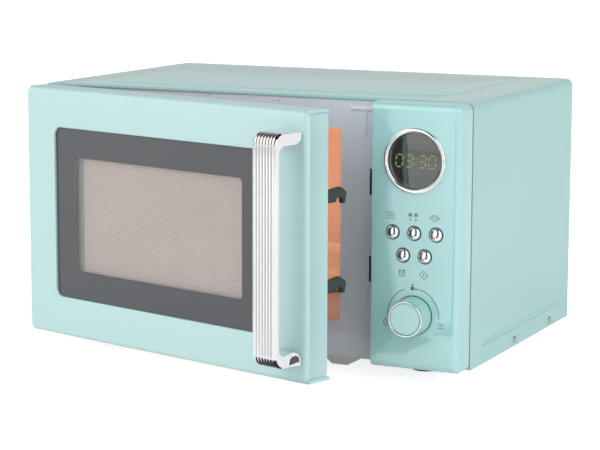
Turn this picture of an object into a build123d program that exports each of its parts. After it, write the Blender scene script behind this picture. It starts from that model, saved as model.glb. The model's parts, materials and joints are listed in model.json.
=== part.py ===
"""Table-top microwave oven with a left-hinged door, which stands ajar.

Frame: +Z up, the resting plane is z = 0, x = 0 is the middle of the cabinet, -Y is the front.
y = 0 is half way between the handle of the ajar door and the rear panel.
"""
import os
from math import cos, pi, radians, sin

from build123d import *

os.makedirs("parts", exist_ok=True)

# ---------------------------------------------------------------- driving dimensions, mm
# cabinet
case_width = 440.0
case_height = 239.0
case_depth = 274.0
case_round = 7.0
foot_height = 12.0
casing_sheet = 0.8
pan_sheet = 1.0
frame_sheet = 1.2
liner_sheet = 1.0
frame_setback = 1.5        # front frame behind the casing's front edge
seat_gap = 0.1             # between pieces that are assembled by hand
part_gap = 0.3             # between pieces that pass each other

# cooking cavity: inside faces of the liner
cavity_left = -206.0
cavity_right = 92.3
cavity_floor = 45.0
cavity_top = 222.3
cavity_depth = 260.0
cavity_round = 4.0

# door
door_ajar = 15.7           # angle from closed at rest, degrees
door_width = 354.2
door_bottom = 14.2
door_height = 235.5
door_thick = 28.2
door_wall = 3.0
door_round = 4.5
door_standoff = 31.2       # front of the closed door and of the panel, before the casing's front edge
hinge_inset = 10.0         # hinge axis from the door's left side
hinge_back = 13.2          # hinge axis behind the door's front face
pin_radius = 2.5
pin_clearance = 0.05
bracket_thick = 2.5
bracket_half = 5.0
bracket_level = 11.0       # outer face of a hinge bracket from the door's end

# door glass and screen, measured along the door from its left side
glass_left = 39.0
glass_right = 304.0
glass_bottom = 51.7
glass_top = 213.3
glass_round = 8.0
glass_recess = 2.5
glass_thick = 4.0
glass_overlap = 3.0
window_left = 65.0
window_right = 277.5
window_bottom = 78.7
window_top = 186.1
screen_left = 20.0
screen_right = 330.0
screen_margin = 10.0       # screen pan inside the door's top and bottom
film_thick = 0.6
film_margin = 16.0
cover_thick = 2.2

# handle
handle_left = 323.0
handle_right = 349.7
handle_bottom = 30.0
handle_top = 233.0
handle_reach = 34.5
handle_strap = 5.0
handle_leg = 10.8
handle_round = 9.0

# latch
latch_left = 342.5
latch_thick = 5.0
latch_bar_bottom = 70.0
latch_bar_top = 190.0
hook_reach = 61.0          # hook tips behind the door's front face
upper_hook = 173.0
lower_hook = 94.0
latch_travel = 3.5
slot_left = 120.8
slot_right = 132.3
slot_half = 12.0
slot_lift = latch_travel / 2 + 0.25    # middle of a slot above the middle of its hook

# control panel
panel_left = 135.7
panel_bottom = 14.6
panel_round = 6.5
panel_wall = 2.5
display_height = 200.9
bezel_radius = 29.0
lens_radius = 24.8
bezel_proud = 3.0
button_pitch = 20.5
button_radius = 5.8
button_bore = 6.7
button_proud = 3.0
button_stem = 6.0
button_travel = 1.0
upper_buttons = 137.0
lower_buttons = 117.0
knob_height = 64.0
knob_base_radius = 17.3
knob_front_radius = 15.6
knob_proud = 20.0
knob_gap = 0.8
shaft_radius = 3.0
running_clearance = 0.05

# turntable
tray_radius = 122.5
tray_thick = 5.0
tray_rim = 8.0
ring_radius = 82.0
ring_width = 9.0
ring_thick = 4.0
roller_radius = 7.0
roller_width = 8.0
axle_radius = 1.5
coupler_radius = 14.0
coupler_shaft = 3.5

# machinery beside the cavity
fan_radius = 46.0
fan_bore = 50.0
fan_height = 157.0
shroud_width = 120.0
shroud_depth = 24.0
fan_shaft = 2.5
side_screws = (116.6, 218.0)   # behind the casing's front edge
side_screw_height = 18.0
screw_shank = 1.9
screw_head = 3.6
foot_radius = 15.0
foot_place = (162.0, 40.0)     # from the middle, and from either end of the casing

# ---------------------------------------------------------------- derived places
case_half = case_width / 2
case_top = foot_height + case_height
panel_x = (panel_left + case_half) / 2
turn = radians(door_ajar)


def handle_front():
    """How far the ajar door's handle stands in front of the casing's front edge."""
    along = handle_right - hinge_inset
    out = handle_reach - (-hinge_back)
    return door_standoff - hinge_back + along * sin(turn) + out * cos(turn)


front = (handle_front() - case_depth) / 2          # y of the casing's front edge
back = front + case_depth
frame_front = front + frame_setback
frame_back = frame_front + frame_sheet
panel_front = front - door_standoff

pivot_x = -case_half + hinge_inset
pivot_y = panel_front + hinge_back
corner_x = pivot_x - hinge_inset * cos(turn) - hinge_back * sin(turn)
corner_y = pivot_y + hinge_inset * sin(turn) - hinge_back * cos(turn)
along_door = Vector(cos(turn), -sin(turn), 0)
out_of_door = Vector(-sin(turn), -cos(turn), 0)
door_corner = Vector(corner_x, corner_y, 0)
door_face = Plane(origin=door_corner, x_dir=along_door, z_dir=out_of_door)
door_top = door_bottom + door_height
bracket_low = door_bottom + bracket_level
bracket_high = door_top - bracket_level - bracket_thick
screen_front = -glass_recess - glass_thick         # door depth of the screen's front face
film_front = screen_front - liner_sheet
cover_front = -door_thick + cover_thick
turntable_x = (cavity_left + cavity_right) / 2
cavity_front = frame_back
turntable_y = cavity_front + (cavity_depth - liner_sheet) / 2
liner_right = cavity_right + liner_sheet
pan_top = foot_height + pan_sheet
rear_inner = back - 1.5


def facing(y):
    """Sketch plane at depth y, seen from the front: x to the right, y up; +amount comes forward."""
    return Plane.XZ.offset(-y)


def door_side(u):
    """Sketch plane across the door at u: x out of the door, y up; -amount runs along the door."""
    return Plane(origin=door_corner + along_door * u, x_dir=out_of_door, z_dir=along_door * -1)


def rounded_box(left, right, bottom, top, radius, mode=Mode.ADD):
    """Rounded rectangle between four sides, for use inside a sketch."""
    with Locations(((left + right) / 2, (bottom + top) / 2)):
        if radius:
            RectangleRounded(right - left, top - bottom, radius, mode=mode)
        else:
            Rectangle(right - left, top - bottom, mode=mode)


def block(x0, x1, y0, y1, z0, z1, mode=Mode.ADD):
    """Upright block between six sides, for use inside a part."""
    with Locations(((x0 + x1) / 2, (y0 + y1) / 2, (z0 + z1) / 2)):
        Box(x1 - x0, y1 - y0, z1 - z0, mode=mode)


def save(piece, name):
    """Label a finished piece and write its STEP file."""
    piece.label = name
    export_step(piece, f"parts/{name}.step")


# ---------------------------------------------------------------- cabinet
side_screw_spots = [(front + d, side_screw_height) for d in side_screws]

with BuildPart() as outer_casing:
    with BuildSketch(facing(front)) as wrap:
        rounded_box(-case_half, case_half, foot_height, case_top + case_round, case_round)
        rounded_box(-case_half, case_half, case_top, case_top + 2 * case_round, 0, mode=Mode.SUBTRACT)
        rounded_box(-case_half, case_half, foot_height, foot_height + case_round + 1, 0)
        fillet(wrap.vertices().group_by(Axis.Y)[-1], case_round)
    extrude(amount=-case_depth)
    with BuildSketch(facing(front)) as hollow:
        inner = case_half - casing_sheet
        rounded_box(-inner, inner, foot_height - 1, case_top - casing_sheet, 0)
        fillet(hollow.vertices().group_by(Axis.Y)[-1], case_round - casing_sheet)
    extrude(amount=-case_depth, mode=Mode.SUBTRACT)
    with BuildSketch(Plane.YZ.offset(-case_half - 1)):
        with Locations(*side_screw_spots):
            Circle(screw_shank + pin_clearance)
    extrude(amount=case_width + 2, mode=Mode.SUBTRACT)
save(outer_casing.part, "outer_casing")

pan_half = case_half - casing_sheet - seat_gap
pan_front = frame_back
flange_height = 11.0
bump_width = 16.0
bump_spread = 9.0
bump_height = 8.5
bump_length = 40.0
with BuildPart() as base_pan:
    block(-pan_half, pan_half, pan_front, rear_inner, foot_height, foot_height + flange_height)
    block(-pan_half + pan_sheet, pan_half - pan_sheet, pan_front + pan_sheet, rear_inner - pan_sheet,
          pan_top, foot_height + flange_height + 1, mode=Mode.SUBTRACT)
    for bump_x in (90.0, -120.0):
        with BuildSketch(facing(pan_front + 4)):
            with BuildLine():
                Polyline((bump_x - bump_width / 2 - bump_spread, foot_height),
                         (bump_x - bump_width / 2, foot_height - bump_height),
                         (bump_x + bump_width / 2, foot_height - bump_height),
                         (bump_x + bump_width / 2 + bump_spread, foot_height), close=True)
            make_face()
        extrude(amount=-bump_length)
    with BuildSketch(Plane.YZ.offset(-case_half - 1)):
        with Locations(*side_screw_spots):
            Circle(screw_shank + pin_clearance)
    extrude(amount=case_width + 2, mode=Mode.SUBTRACT)
    with BuildSketch(Plane.XY.offset(foot_height - 1)):
        with Locations((turntable_x, turntable_y)):
            Circle(26)
        with Locations(((liner_right + pan_half) / 2, back - 95)):
            with GridLocations(10, 34, 8, 2):
                SlotOverall(26, 4, rotation=90)
    extrude(amount=3, mode=Mode.SUBTRACT)
save(base_pan.part, "base_pan")

inlet_x, inlet_z, inlet_radius = 170.0, 52.0, 9.0
rear_screw_spots = [(x, z) for x in (-205.0, 205.0) for z in (36.0, 228.0)]
with BuildPart() as rear_panel:
    with BuildSketch(facing(rear_inner)):
        rounded_box(-pan_half, pan_half, pan_top, case_top - casing_sheet - seat_gap, case_round)
        with Locations((turntable_x, 190)):
            with GridLocations(14, 34, 12, 2):
                SlotOverall(28, 5, rotation=90, mode=Mode.SUBTRACT)
        with Locations((liner_right + shroud_width / 2, fan_height)):
            with GridLocations(11, 38, 9, 2):
                SlotOverall(32, 5, rotation=90, mode=Mode.SUBTRACT)
        with Locations((inlet_x, inlet_z)):
            Circle(inlet_radius + seat_gap, mode=Mode.SUBTRACT)
        with Locations(*rear_screw_spots):
            Circle(screw_shank + pin_clearance, mode=Mode.SUBTRACT)
    extrude(amount=-1.0)
save(rear_panel.part, "rear_panel")

frame_half = case_half - casing_sheet - part_gap
frame_bottom = foot_height + 3.0
frame_top = case_top - casing_sheet - part_gap
hook_slots = (lower_hook + slot_lift, upper_hook + slot_lift)
bracket_slots = (bracket_low + bracket_thick / 2, bracket_high + bracket_thick / 2)
with BuildPart() as front_frame:
    with BuildSketch(facing(frame_back)):
        rounded_box(-frame_half, frame_half, frame_bottom, frame_top, case_round)
        rounded_box(cavity_left, cavity_right, cavity_floor, cavity_top, cavity_round, mode=Mode.SUBTRACT)
        for middle in hook_slots:
            rounded_box(slot_left, slot_right, middle - slot_half, middle + slot_half, 1.0,
                        mode=Mode.SUBTRACT)
        for middle in bracket_slots:
            half = bracket_thick / 2 + seat_gap
            rounded_box(pivot_x - bracket_half - seat_gap, pivot_x + bracket_half + seat_gap,
                        middle - half, middle + half, 0, mode=Mode.SUBTRACT)
    extrude(amount=frame_sheet)
save(front_frame.part, "front_frame")

port_low, port_high = 128.0, 172.0
port_front, port_back = front + 74.0, front + 146.0
lamp_y, lamp_z = front + 192.0, 195.0
with BuildPart() as cavity_liner:
    with BuildSketch(facing(cavity_front)):
        rounded_box(cavity_left - liner_sheet, liner_right, cavity_floor - liner_sheet,
                    cavity_top + liner_sheet, cavity_round + liner_sheet)
    extrude(amount=-cavity_depth)
    with BuildSketch(facing(cavity_front)):
        rounded_box(cavity_left, cavity_right, cavity_floor, cavity_top, cavity_round)
    extrude(amount=-(cavity_depth - liner_sheet), mode=Mode.SUBTRACT)
    with BuildSketch(Plane.XY.offset(cavity_floor - 3)):
        with Locations((turntable_x, turntable_y)):
            Circle(coupler_shaft + 2.5)
    extrude(amount=6, mode=Mode.SUBTRACT)
    with BuildSketch(Plane.YZ.offset(cavity_right - 3)):
        rounded_box(port_front, port_back, port_low, port_high, 2)
        with Locations((lamp_y, lamp_z)):
            with GridLocations(5, 5, 6, 5):
                Circle(1.6)
    extrude(amount=6, mode=Mode.SUBTRACT)
save(cavity_liner.part, "cavity_liner")

foot_x, foot_inset = foot_place
left_foot_shift = 18.0
foot_draft = 9.0
foot_spots = [(side * x, y) for side, x in ((1, foot_x), (-1, foot_x + left_foot_shift))
              for y in (front + foot_inset, back - foot_inset)]
with BuildPart() as feet:
    with BuildSketch(Plane.XY):
        with Locations(*foot_spots):
            Circle(foot_radius - 2)
    extrude(amount=foot_height, taper=-foot_draft)
save(feet.part, "feet")

screw_head_height, screw_head_taper = 2.0, 25.0
screw_grip = 7.0
with BuildPart() as casing_screws:
    for side in (-1, 1):
        with BuildSketch(Plane.YZ.offset(side * case_half)):
            with Locations(*side_screw_spots):
                Circle(screw_head)
        extrude(amount=side * screw_head_height, taper=screw_head_taper)
        with BuildSketch(Plane.YZ.offset(side * case_half)):
            with Locations(*side_screw_spots):
                Circle(screw_shank)
        extrude(amount=-side * screw_grip)
    with BuildSketch(facing(rear_inner + 1)):
        with Locations(*rear_screw_spots):
            Circle(screw_head)
    extrude(amount=-screw_head_height, taper=screw_head_taper)
    with BuildSketch(facing(rear_inner + 1)):
        with Locations(*rear_screw_spots):
            Circle(screw_shank)
    extrude(amount=screw_grip)
save(casing_screws.part, "casing_screws")

# ---------------------------------------------------------------- hinges
for name, low, ear in (("hinge_upper", bracket_high, -1), ("hinge_lower", bracket_low, 1)):
    with BuildPart() as hinge:
        with BuildSketch(Plane.XY.offset(low)):
            with Locations((pivot_x, pivot_y)):
                Circle(bracket_half)
            arm_end = frame_back + 2.0
            with Locations((pivot_x, (pivot_y + arm_end) / 2)):
                Rectangle(2 * bracket_half, arm_end - pivot_y)
            with Locations((pivot_x, pivot_y)):
                Circle(pin_radius + pin_clearance, mode=Mode.SUBTRACT)
        extrude(amount=bracket_thick)
        plate_low = low - 12.4 if ear < 0 else foot_height + flange_height + part_gap
        with BuildSketch(facing(frame_back)):
            rounded_box(-frame_half + 1, -frame_half + 34, plate_low, plate_low + 16, 2)
        extrude(amount=-2.0)
    save(hinge.part, name)

pin_length = 8.0
with BuildPart() as hinge_pins:
    for low in (bracket_high, bracket_low + bracket_thick - pin_length):
        with BuildSketch(Plane.XY.offset(low)):
            with Locations((pivot_x, pivot_y)):
                Circle(pin_radius)
        extrude(amount=pin_length)
save(hinge_pins.part, "hinge_pins")

# ---------------------------------------------------------------- control panel
panel_top = case_top
lens_seat = panel_front + panel_wall
button_spots = {
    "button_power": (panel_x - button_pitch, upper_buttons),
    "button_defrost": (panel_x, upper_buttons),
    "button_clock": (panel_x + button_pitch, upper_buttons),
    "button_stop": (panel_x - button_pitch / 2, lower_buttons),
    "button_start": (panel_x + button_pitch / 2, lower_buttons),
}
with BuildPart() as control_panel:
    with BuildSketch(facing(front)):
        rounded_box(panel_left, case_half, panel_bottom, panel_top, 2)
    extrude(amount=door_standoff)
    fillet(control_panel.faces().sort_by(Axis.Y)[0].edges(), panel_round)
    with BuildSketch(facing(front)):
        rounded_box(panel_left + panel_wall, case_half - panel_wall, panel_bottom + panel_wall,
                    panel_top - panel_wall, 2)
    extrude(amount=door_standoff - panel_wall, mode=Mode.SUBTRACT)
    with BuildSketch(facing(panel_front + panel_wall + 1)):
        with Locations((panel_x, display_height)):
            Circle(lens_radius + 1.5)
        with Locations(*button_spots.values()):
            Circle(button_bore)
        with Locations((panel_x, knob_height)):
            Circle(shaft_radius + 1.0)
    extrude(amount=panel_wall + 4, mode=Mode.SUBTRACT)
save(control_panel.part, "control_panel")

with BuildPart() as display_bezel:
    with BuildSketch(facing(panel_front)):
        with Locations((panel_x, display_height)):
            Circle(bezel_radius)
            Circle(lens_radius, mode=Mode.SUBTRACT)
    extrude(amount=bezel_proud)
    fillet(display_bezel.faces().sort_by(Axis.Y)[0].edges(), 1.4)
    with BuildSketch(facing(panel_front)):
        with Locations((panel_x, display_height)):
            Circle(lens_radius + 1.5 - seat_gap)
            Circle(lens_radius, mode=Mode.SUBTRACT)
    extrude(amount=-panel_wall)
save(display_bezel.part, "display_bezel")

lens_front = panel_front - 1.2
with BuildPart() as display_lens:
    with BuildSketch(facing(lens_seat)):
        with Locations((panel_x, display_height)):
            Circle(lens_radius - seat_gap)
    extrude(amount=lens_seat - lens_front)
    with BuildSketch(facing(lens_seat)):
        with Locations((panel_x, display_height)):
            Circle(lens_radius + 3)
    extrude(amount=-1.5)
save(display_lens.part, "display_lens")

board_front = front - 14.0
board_thick = 1.6
button_foot = panel_front + button_stem
module_back = board_front
with BuildPart() as display_module:
    with BuildSketch(facing(module_back)):
        rounded_box(panel_x - 24, panel_x + 24, display_height - 14, display_height + 14, 1.5)
    extrude(amount=module_back - (lens_seat + 1.5))
save(display_module.part, "display_module")

with BuildPart() as control_board:
    with BuildSketch(facing(board_front)):
        rounded_box(panel_left + panel_wall + 4, case_half - panel_wall - 4, 36, 236, 0)
        with Locations((panel_x, knob_height)):
            Circle(shaft_radius + 1, mode=Mode.SUBTRACT)
    extrude(amount=-board_thick)
    with BuildSketch(facing(board_front)):
        with Locations(*button_spots.values()):
            Rectangle(6, 6)
    extrude(amount=board_front - (button_foot + button_travel + 0.5))
    with BuildSketch(facing(board_front + board_thick)):
        with Locations((panel_x + 18, 222), (panel_x - 14, 160)):
            Rectangle(18, 12)
    extrude(amount=-10)
    # the four posts that hold the board to the panel's face
    with BuildSketch(facing(board_front)):
        with Locations(*[(panel_x + sx * 33, z) for sx in (-1, 1) for z in (42, 162)]):
            Circle(2.5)
    extrude(amount=board_front - (panel_front + panel_wall))
save(control_board.part, "control_board")

for name, (x, z) in button_spots.items():
    with BuildPart() as button:
        with BuildSketch(facing(button_foot)):
            with Locations((x, z)):
                Circle(button_radius)
        extrude(amount=button_stem + button_proud)
        fillet(button.faces().sort_by(Axis.Y)[0].edges(), 2.6)
        with BuildSketch(facing(panel_front + panel_wall + part_gap)):
            with Locations((x, z)):
                Circle(button_bore + 1.6)
        extrude(amount=-(button_foot - (panel_front + panel_wall + part_gap)))
    save(button.part, name)

# ---------------------------------------------------------------- knob and encoder
knob_back = panel_front - knob_gap
cap_seat = panel_front - knob_proud + 1.6
ring_back = panel_front - knob_proud + 4.5
shaft_tip = panel_front - 12.0
with BuildPart() as knob_body:
    with BuildSketch(facing(knob_back)):
        with Locations((panel_x, knob_height)):
            Circle(knob_base_radius)
    with BuildSketch(facing(ring_back)):
        with Locations((panel_x, knob_height)):
            Circle(knob_front_radius)
    loft()
    with BuildSketch(facing(ring_back)):
        with Locations((panel_x, knob_height)):
            Circle(knob_front_radius - 1.6)
    extrude(amount=ring_back - cap_seat)
    with BuildSketch(facing(knob_back)):
        with Locations((panel_x, knob_height)):
            Circle(knob_base_radius - 2.5)
            Circle(shaft_radius + 3, mode=Mode.SUBTRACT)
    extrude(amount=8, mode=Mode.SUBTRACT)
    with BuildSketch(facing(knob_back)):
        with Locations((panel_x, knob_height)):
            Circle(shaft_radius + pin_clearance)
    extrude(amount=knob_back - shaft_tip + seat_gap, mode=Mode.SUBTRACT)
save(knob_body.part, "knob_body")

with BuildPart() as knob_ring:
    with BuildSketch(facing(ring_back)):
        with Locations((panel_x, knob_height)):
            Circle(knob_front_radius + 0.2)
            Circle(knob_front_radius - 1.55, mode=Mode.SUBTRACT)
    extrude(amount=ring_back - (panel_front - knob_proud))
    fillet(knob_ring.faces().sort_by(Axis.Y)[0].edges(), 0.7)
save(knob_ring.part, "knob_ring")

with BuildPart() as knob_cap:
    with BuildSketch(facing(cap_seat)):
        with Locations((panel_x, knob_height)):
            Circle(knob_front_radius - 1.6)
    extrude(amount=cap_seat - (panel_front - knob_proud + 0.5))
save(knob_cap.part, "knob_cap")

encoder_front = panel_front + panel_wall
with BuildPart() as encoder_body:
    with BuildSketch(facing(encoder_front + 7)):
        with Locations((panel_x, knob_height)):
            Rectangle(13, 13)
    extrude(amount=7)
    with BuildSketch(facing(board_front)):
        with Locations((panel_x, knob_height)):
            Rectangle(13, 13)
    extrude(amount=board_front - encoder_front - 7)
    with BuildSketch(facing(encoder_front + 5)):
        with Locations((panel_x, knob_height)):
            Circle(shaft_radius + running_clearance)
    extrude(amount=6, mode=Mode.SUBTRACT)
save(encoder_body.part, "encoder_body")

with BuildPart() as encoder_shaft:
    with BuildSketch(facing(encoder_front + 5 - seat_gap)):
        with Locations((panel_x, knob_height)):
            Circle(shaft_radius)
    extrude(amount=encoder_front + 5 - seat_gap - shaft_tip)
save(encoder_shaft.part, "encoder_shaft")

# ---------------------------------------------------------------- door
lip_back = 3.0
lip_thick = 2.4
latch_front = -12.0        # door depth of the lever's front face
latch_depth = 8.0
spring_length = 22.0
spring_seat = latch_bar_top + part_gap + spring_length + part_gap
bolt_radius = 2.2
bolt_low = handle_bottom + 6.0
bolt_high = handle_top - 5.5
handle_middle = (handle_left + handle_right) / 2
boss_right = hinge_inset + 7.0
notch_front = -(hinge_back - bracket_half) + 3.0
with BuildPart() as door_frame:
    with BuildSketch(door_face.offset(-door_thick)):
        rounded_box(0, door_width, door_bottom, door_top, 2)
    extrude(amount=door_thick)
    fillet(door_frame.faces().sort_by(Axis((0, 0, 0), out_of_door))[-1].edges(), door_round)
    with BuildSketch(door_face.offset(-door_thick)):
        rounded_box(door_wall, door_width - door_wall, door_bottom + door_wall, door_top - door_wall, 1)
    extrude(amount=door_thick - glass_recess, mode=Mode.SUBTRACT)
    with BuildSketch(door_face.offset(-glass_recess - 1)):
        rounded_box(glass_left, glass_right, glass_bottom, glass_top, glass_round)
    extrude(amount=glass_recess + 2, mode=Mode.SUBTRACT)
    # hinge bosses in the two left corners, outside the bracket levels
    slot_low = bracket_low + bracket_thick + part_gap
    slot_high = bracket_high - part_gap
    with BuildSketch(door_face.offset(-glass_recess)):
        rounded_box(door_wall / 2, boss_right, door_bottom + 1, slot_low, 0)
        rounded_box(door_wall / 2, boss_right, slot_high, door_top - 1, 0)
    extrude(amount=-(hinge_back + 6.5 - glass_recess))
    # the bottom edge runs on behind the free corner as a small lip
    with BuildSketch(door_face.offset(-door_thick)):
        rounded_box(door_width - 30, door_width, door_bottom, door_bottom + lip_thick, 0)
    extrude(amount=-lip_back)
    with BuildSketch(door_face.offset(notch_front)):
        for low in (bracket_low, bracket_high):
            rounded_box(-1, hinge_inset + bracket_half + 2, low - part_gap, low + bracket_thick + part_gap, 0)
    extrude(amount=-(door_thick + 5), mode=Mode.SUBTRACT)
    # guide ribs of the latch lever on the free side, and the seat of its spring
    with BuildSketch(door_face.offset(latch_front)):
        for low in (latch_bar_bottom + 30, latch_bar_top - 60):
            rounded_box(latch_left + latch_thick + part_gap, door_width - 1, low, low + 12, 0)
    extrude(amount=-latch_depth)
    with BuildSketch(door_face.offset(-glass_recess)):
        rounded_box(latch_left - 2, door_width - 1, spring_seat, spring_seat + 2.5, 0)
    extrude(amount=-(latch_depth + 6 - latch_front - glass_recess - 4))
    with BuildSketch(door_face.offset(-glass_recess - 1)):
        with Locations(*[(handle_middle, z) for z in (bolt_low, bolt_high)]):
            Circle(bolt_radius + pin_clearance)
    extrude(amount=glass_recess + 2, mode=Mode.SUBTRACT)
    pin_foot = door_face.from_local_coords((hinge_inset, door_bottom, -hinge_back))
    for low in (bracket_high, bracket_low + bracket_thick - pin_length):
        with BuildSketch(Plane.XY.offset(low - seat_gap)):
            with Locations((pin_foot.X, pin_foot.Y)):
                Circle(pin_radius + pin_clearance)
        extrude(amount=pin_length + 2 * seat_gap, mode=Mode.SUBTRACT)
save(door_frame.part, "door_frame")

with BuildPart() as door_glass:
    with BuildSketch(door_face.offset(screen_front)):
        rounded_box(glass_left - glass_overlap, glass_right + glass_overlap, glass_bottom - glass_overlap,
                    glass_top + glass_overlap, glass_round + glass_overlap)
    extrude(amount=glass_thick)
save(door_glass.part, "door_glass")

screen_bottom = door_bottom + screen_margin
screen_top = door_top - screen_margin
with BuildPart() as door_screen:
    with BuildSketch(door_face.offset(screen_front)):
        rounded_box(screen_left, screen_right, screen_bottom, screen_top, 3)
    extrude(amount=-(screen_front - cover_front))
    with BuildSketch(door_face.offset(screen_front - liner_sheet)):
        rounded_box(screen_left + liner_sheet, screen_right - liner_sheet, screen_bottom + liner_sheet,
                    screen_top - liner_sheet, 2)
    extrude(amount=-door_thick, mode=Mode.SUBTRACT)
save(door_screen.part, "door_screen")

with BuildPart() as inner_film:
    with BuildSketch(door_face.offset(film_front - film_thick)):
        rounded_box(window_left - film_margin, window_right + film_margin, window_bottom - film_margin,
                    window_top + film_margin, 4)
    extrude(amount=film_thick)
save(inner_film.part, "inner_film")

cover_left = hinge_inset + 8.0
rim_wall = 1.5
with BuildPart() as choke_cover:
    with BuildSketch(door_face.offset(-door_thick)):
        rounded_box(cover_left, door_width - door_wall - seat_gap, door_bottom + door_wall + seat_gap,
                    door_top - door_wall - seat_gap, 2)
    extrude(amount=cover_thick)
    with BuildSketch(door_face.offset(film_front - film_thick)):
        rounded_box(window_left - film_margin + 2, window_right + film_margin - 2,
                    window_bottom - film_margin + 2, window_top + film_margin - 2, 5)
    extrude(amount=-(film_front - film_thick + door_thick))
    with BuildSketch(door_face.offset(film_front - film_thick)):
        rounded_box(window_left - film_margin + 2 + rim_wall, window_right + film_margin - 2 - rim_wall,
                    window_bottom - film_margin + 2 + rim_wall,
                    window_top + film_margin - 2 - rim_wall, 4)
    extrude(amount=-door_thick, mode=Mode.SUBTRACT)
    with BuildSketch(door_face.offset(-door_thick - 1)):
        for middle in (lower_hook, upper_hook):
            rounded_box(latch_left - 1.5, latch_left + latch_thick + 1.5, middle - slot_half,
                        middle + slot_half, 0.8)
    extrude(amount=cover_thick + 2, mode=Mode.SUBTRACT)
save(choke_cover.part, "choke_cover")

# ---------------------------------------------------------------- handle
with BuildPart() as handle:
    with BuildSketch(door_side(handle_left)) as strap:
        rounded_box(0, handle_reach, handle_bottom, handle_top, 0)
        fillet(strap.vertices().group_by(Axis.X)[-1], handle_round)
    extrude(amount=-(handle_right - handle_left))
    with BuildSketch(door_side(handle_left - 1)) as gap:
        with BuildLine():
            Polyline((-1, handle_bottom + 8.0),
                     (6.0, handle_bottom + 14.0),
                     (handle_reach - handle_strap - 5, handle_bottom + 14.0),
                     (handle_reach - handle_strap, handle_bottom + 18.0),
                     (handle_reach - handle_strap, handle_top - handle_leg - 7),
                     (handle_reach - handle_strap - 6, handle_top - handle_leg),
                     (5.0, handle_top - handle_leg),
                     (-1, handle_top - handle_leg + 3), close=True)
        make_face()
    extrude(amount=-(handle_right - handle_left + 2), mode=Mode.SUBTRACT)
    with BuildSketch(door_face.offset(-1)):
        with Locations(*[(handle_middle, z) for z in (bolt_low, bolt_high)]):
            Circle(bolt_radius + pin_clearance)
    extrude(amount=14, mode=Mode.SUBTRACT)
save(handle.part, "handle")

with BuildPart() as handle_screws:
    with BuildSketch(door_face.offset(-glass_recess)):
        with Locations(*[(handle_middle, z) for z in (bolt_low, bolt_high)]):
            Circle(4.0)
    extrude(amount=-2.4)
    with BuildSketch(door_face.offset(0)):
        with Locations(*[(handle_middle, z) for z in (bolt_low, bolt_high)]):
            Circle(bolt_radius)
    extrude(amount=12)
    with BuildSketch(door_face.offset(-glass_recess)):
        with Locations(*[(handle_middle, z) for z in (bolt_low, bolt_high)]):
            Circle(bolt_radius)
    extrude(amount=glass_recess)
save(handle_screws.part, "handle_screws")

# ---------------------------------------------------------------- latch
with BuildPart() as latch_lever:
    with BuildSketch(door_side(latch_left)):
        rounded_box(latch_front - latch_depth, latch_front, latch_bar_bottom, latch_bar_top, 1.5)
        for middle in (lower_hook, upper_hook):
            with BuildLine():
                Polyline((latch_front - 2, middle - 6.0),
                         (-hook_reach + 14, middle - 6.0),
                         (-hook_reach + 13, middle - 2.5),
                         (-hook_reach + 6, middle - 2.5),
                         (-hook_reach + 5, middle - 8.0),
                         (-hook_reach + 2, middle - 8.0),
                         (-hook_reach, middle + 2.0),
                         (-hook_reach + 8, middle + 7.0),
                         (-hook_reach + 22, middle + 5.0),
                         (latch_front - 2, middle + 5.0), close=True)
            make_face()
    extrude(amount=-latch_thick)
save(latch_lever.part, "latch_lever")

spring_radius = 3.0
spring_hollow = 2.0
with BuildPart() as latch_spring:
    with BuildSketch(Plane.XY.offset(latch_bar_top + part_gap)):
        spring_foot = door_face.from_local_coords(
            (latch_left + latch_thick / 2, 0, latch_front - latch_depth / 2))
        with Locations((spring_foot.X, spring_foot.Y)):
            Circle(spring_radius)
            Circle(spring_hollow, mode=Mode.SUBTRACT)
    extrude(amount=spring_length)
save(latch_spring.part, "latch_spring")

# ---------------------------------------------------------------- interlock behind the latch slots
bracket_left, bracket_right = slot_left - 7.0, slot_right + 5.0
bracket_bottom, bracket_top = lower_hook - 15.0, upper_hook + 23.0
switch_front = front + hook_reach - door_standoff + 8.0
switch_depth = 20.0
switch_half = 8.0
switch_levels = (lower_hook + 2.0, (lower_hook + upper_hook) / 2, upper_hook + 1.0)
plunger_radius = 1.8
plunger_proud = 4.0
switch_travel = 1.5
plate_left = slot_right + 1.7
switch_x = (slot_left + plate_left) / 2
bracket_flange = 2.5
slot_margin = 1.0
plunger_stem = 6.0
plunger_round = 0.8
with BuildPart() as interlock_bracket:
    with BuildSketch(facing(frame_back)):
        rounded_box(bracket_left, bracket_right, bracket_bottom, bracket_top, 1)
        for middle in hook_slots:
            rounded_box(slot_left - slot_margin, slot_right + slot_margin,
                        middle - slot_half - slot_margin, middle + slot_half + slot_margin, 1,
                        mode=Mode.SUBTRACT)
    extrude(amount=-bracket_flange)
    with BuildSketch(facing(frame_back)):
        rounded_box(plate_left, bracket_right, bracket_bottom, bracket_top, 0)
    extrude(amount=-(switch_front + switch_depth + 3 - frame_back))
save(interlock_bracket.part, "interlock_bracket")

with BuildPart() as interlock_switches:
    with BuildSketch(facing(switch_front)):
        for level in switch_levels:
            rounded_box(slot_left, plate_left, level - switch_half, level + switch_half, 0)
    extrude(amount=-switch_depth)
    with BuildSketch(facing(switch_front - 1)):
        with Locations(*[(switch_x, level) for level in switch_levels]):
            Circle(plunger_radius + running_clearance)
    extrude(amount=-(plunger_stem + 1), mode=Mode.SUBTRACT)
save(interlock_switches.part, "interlock_switches")

for number, level in enumerate(switch_levels, 1):
    with BuildPart() as plunger:
        with BuildSketch(facing(switch_front + plunger_stem - switch_travel - part_gap)):
            with Locations((switch_x, level)):
                Circle(plunger_radius)
        extrude(amount=plunger_stem - switch_travel - part_gap + plunger_proud)
        fillet(plunger.faces().sort_by(Axis.Y)[0].edges(), plunger_round)
    save(plunger.part, f"switch_plunger_{number}")

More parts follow.
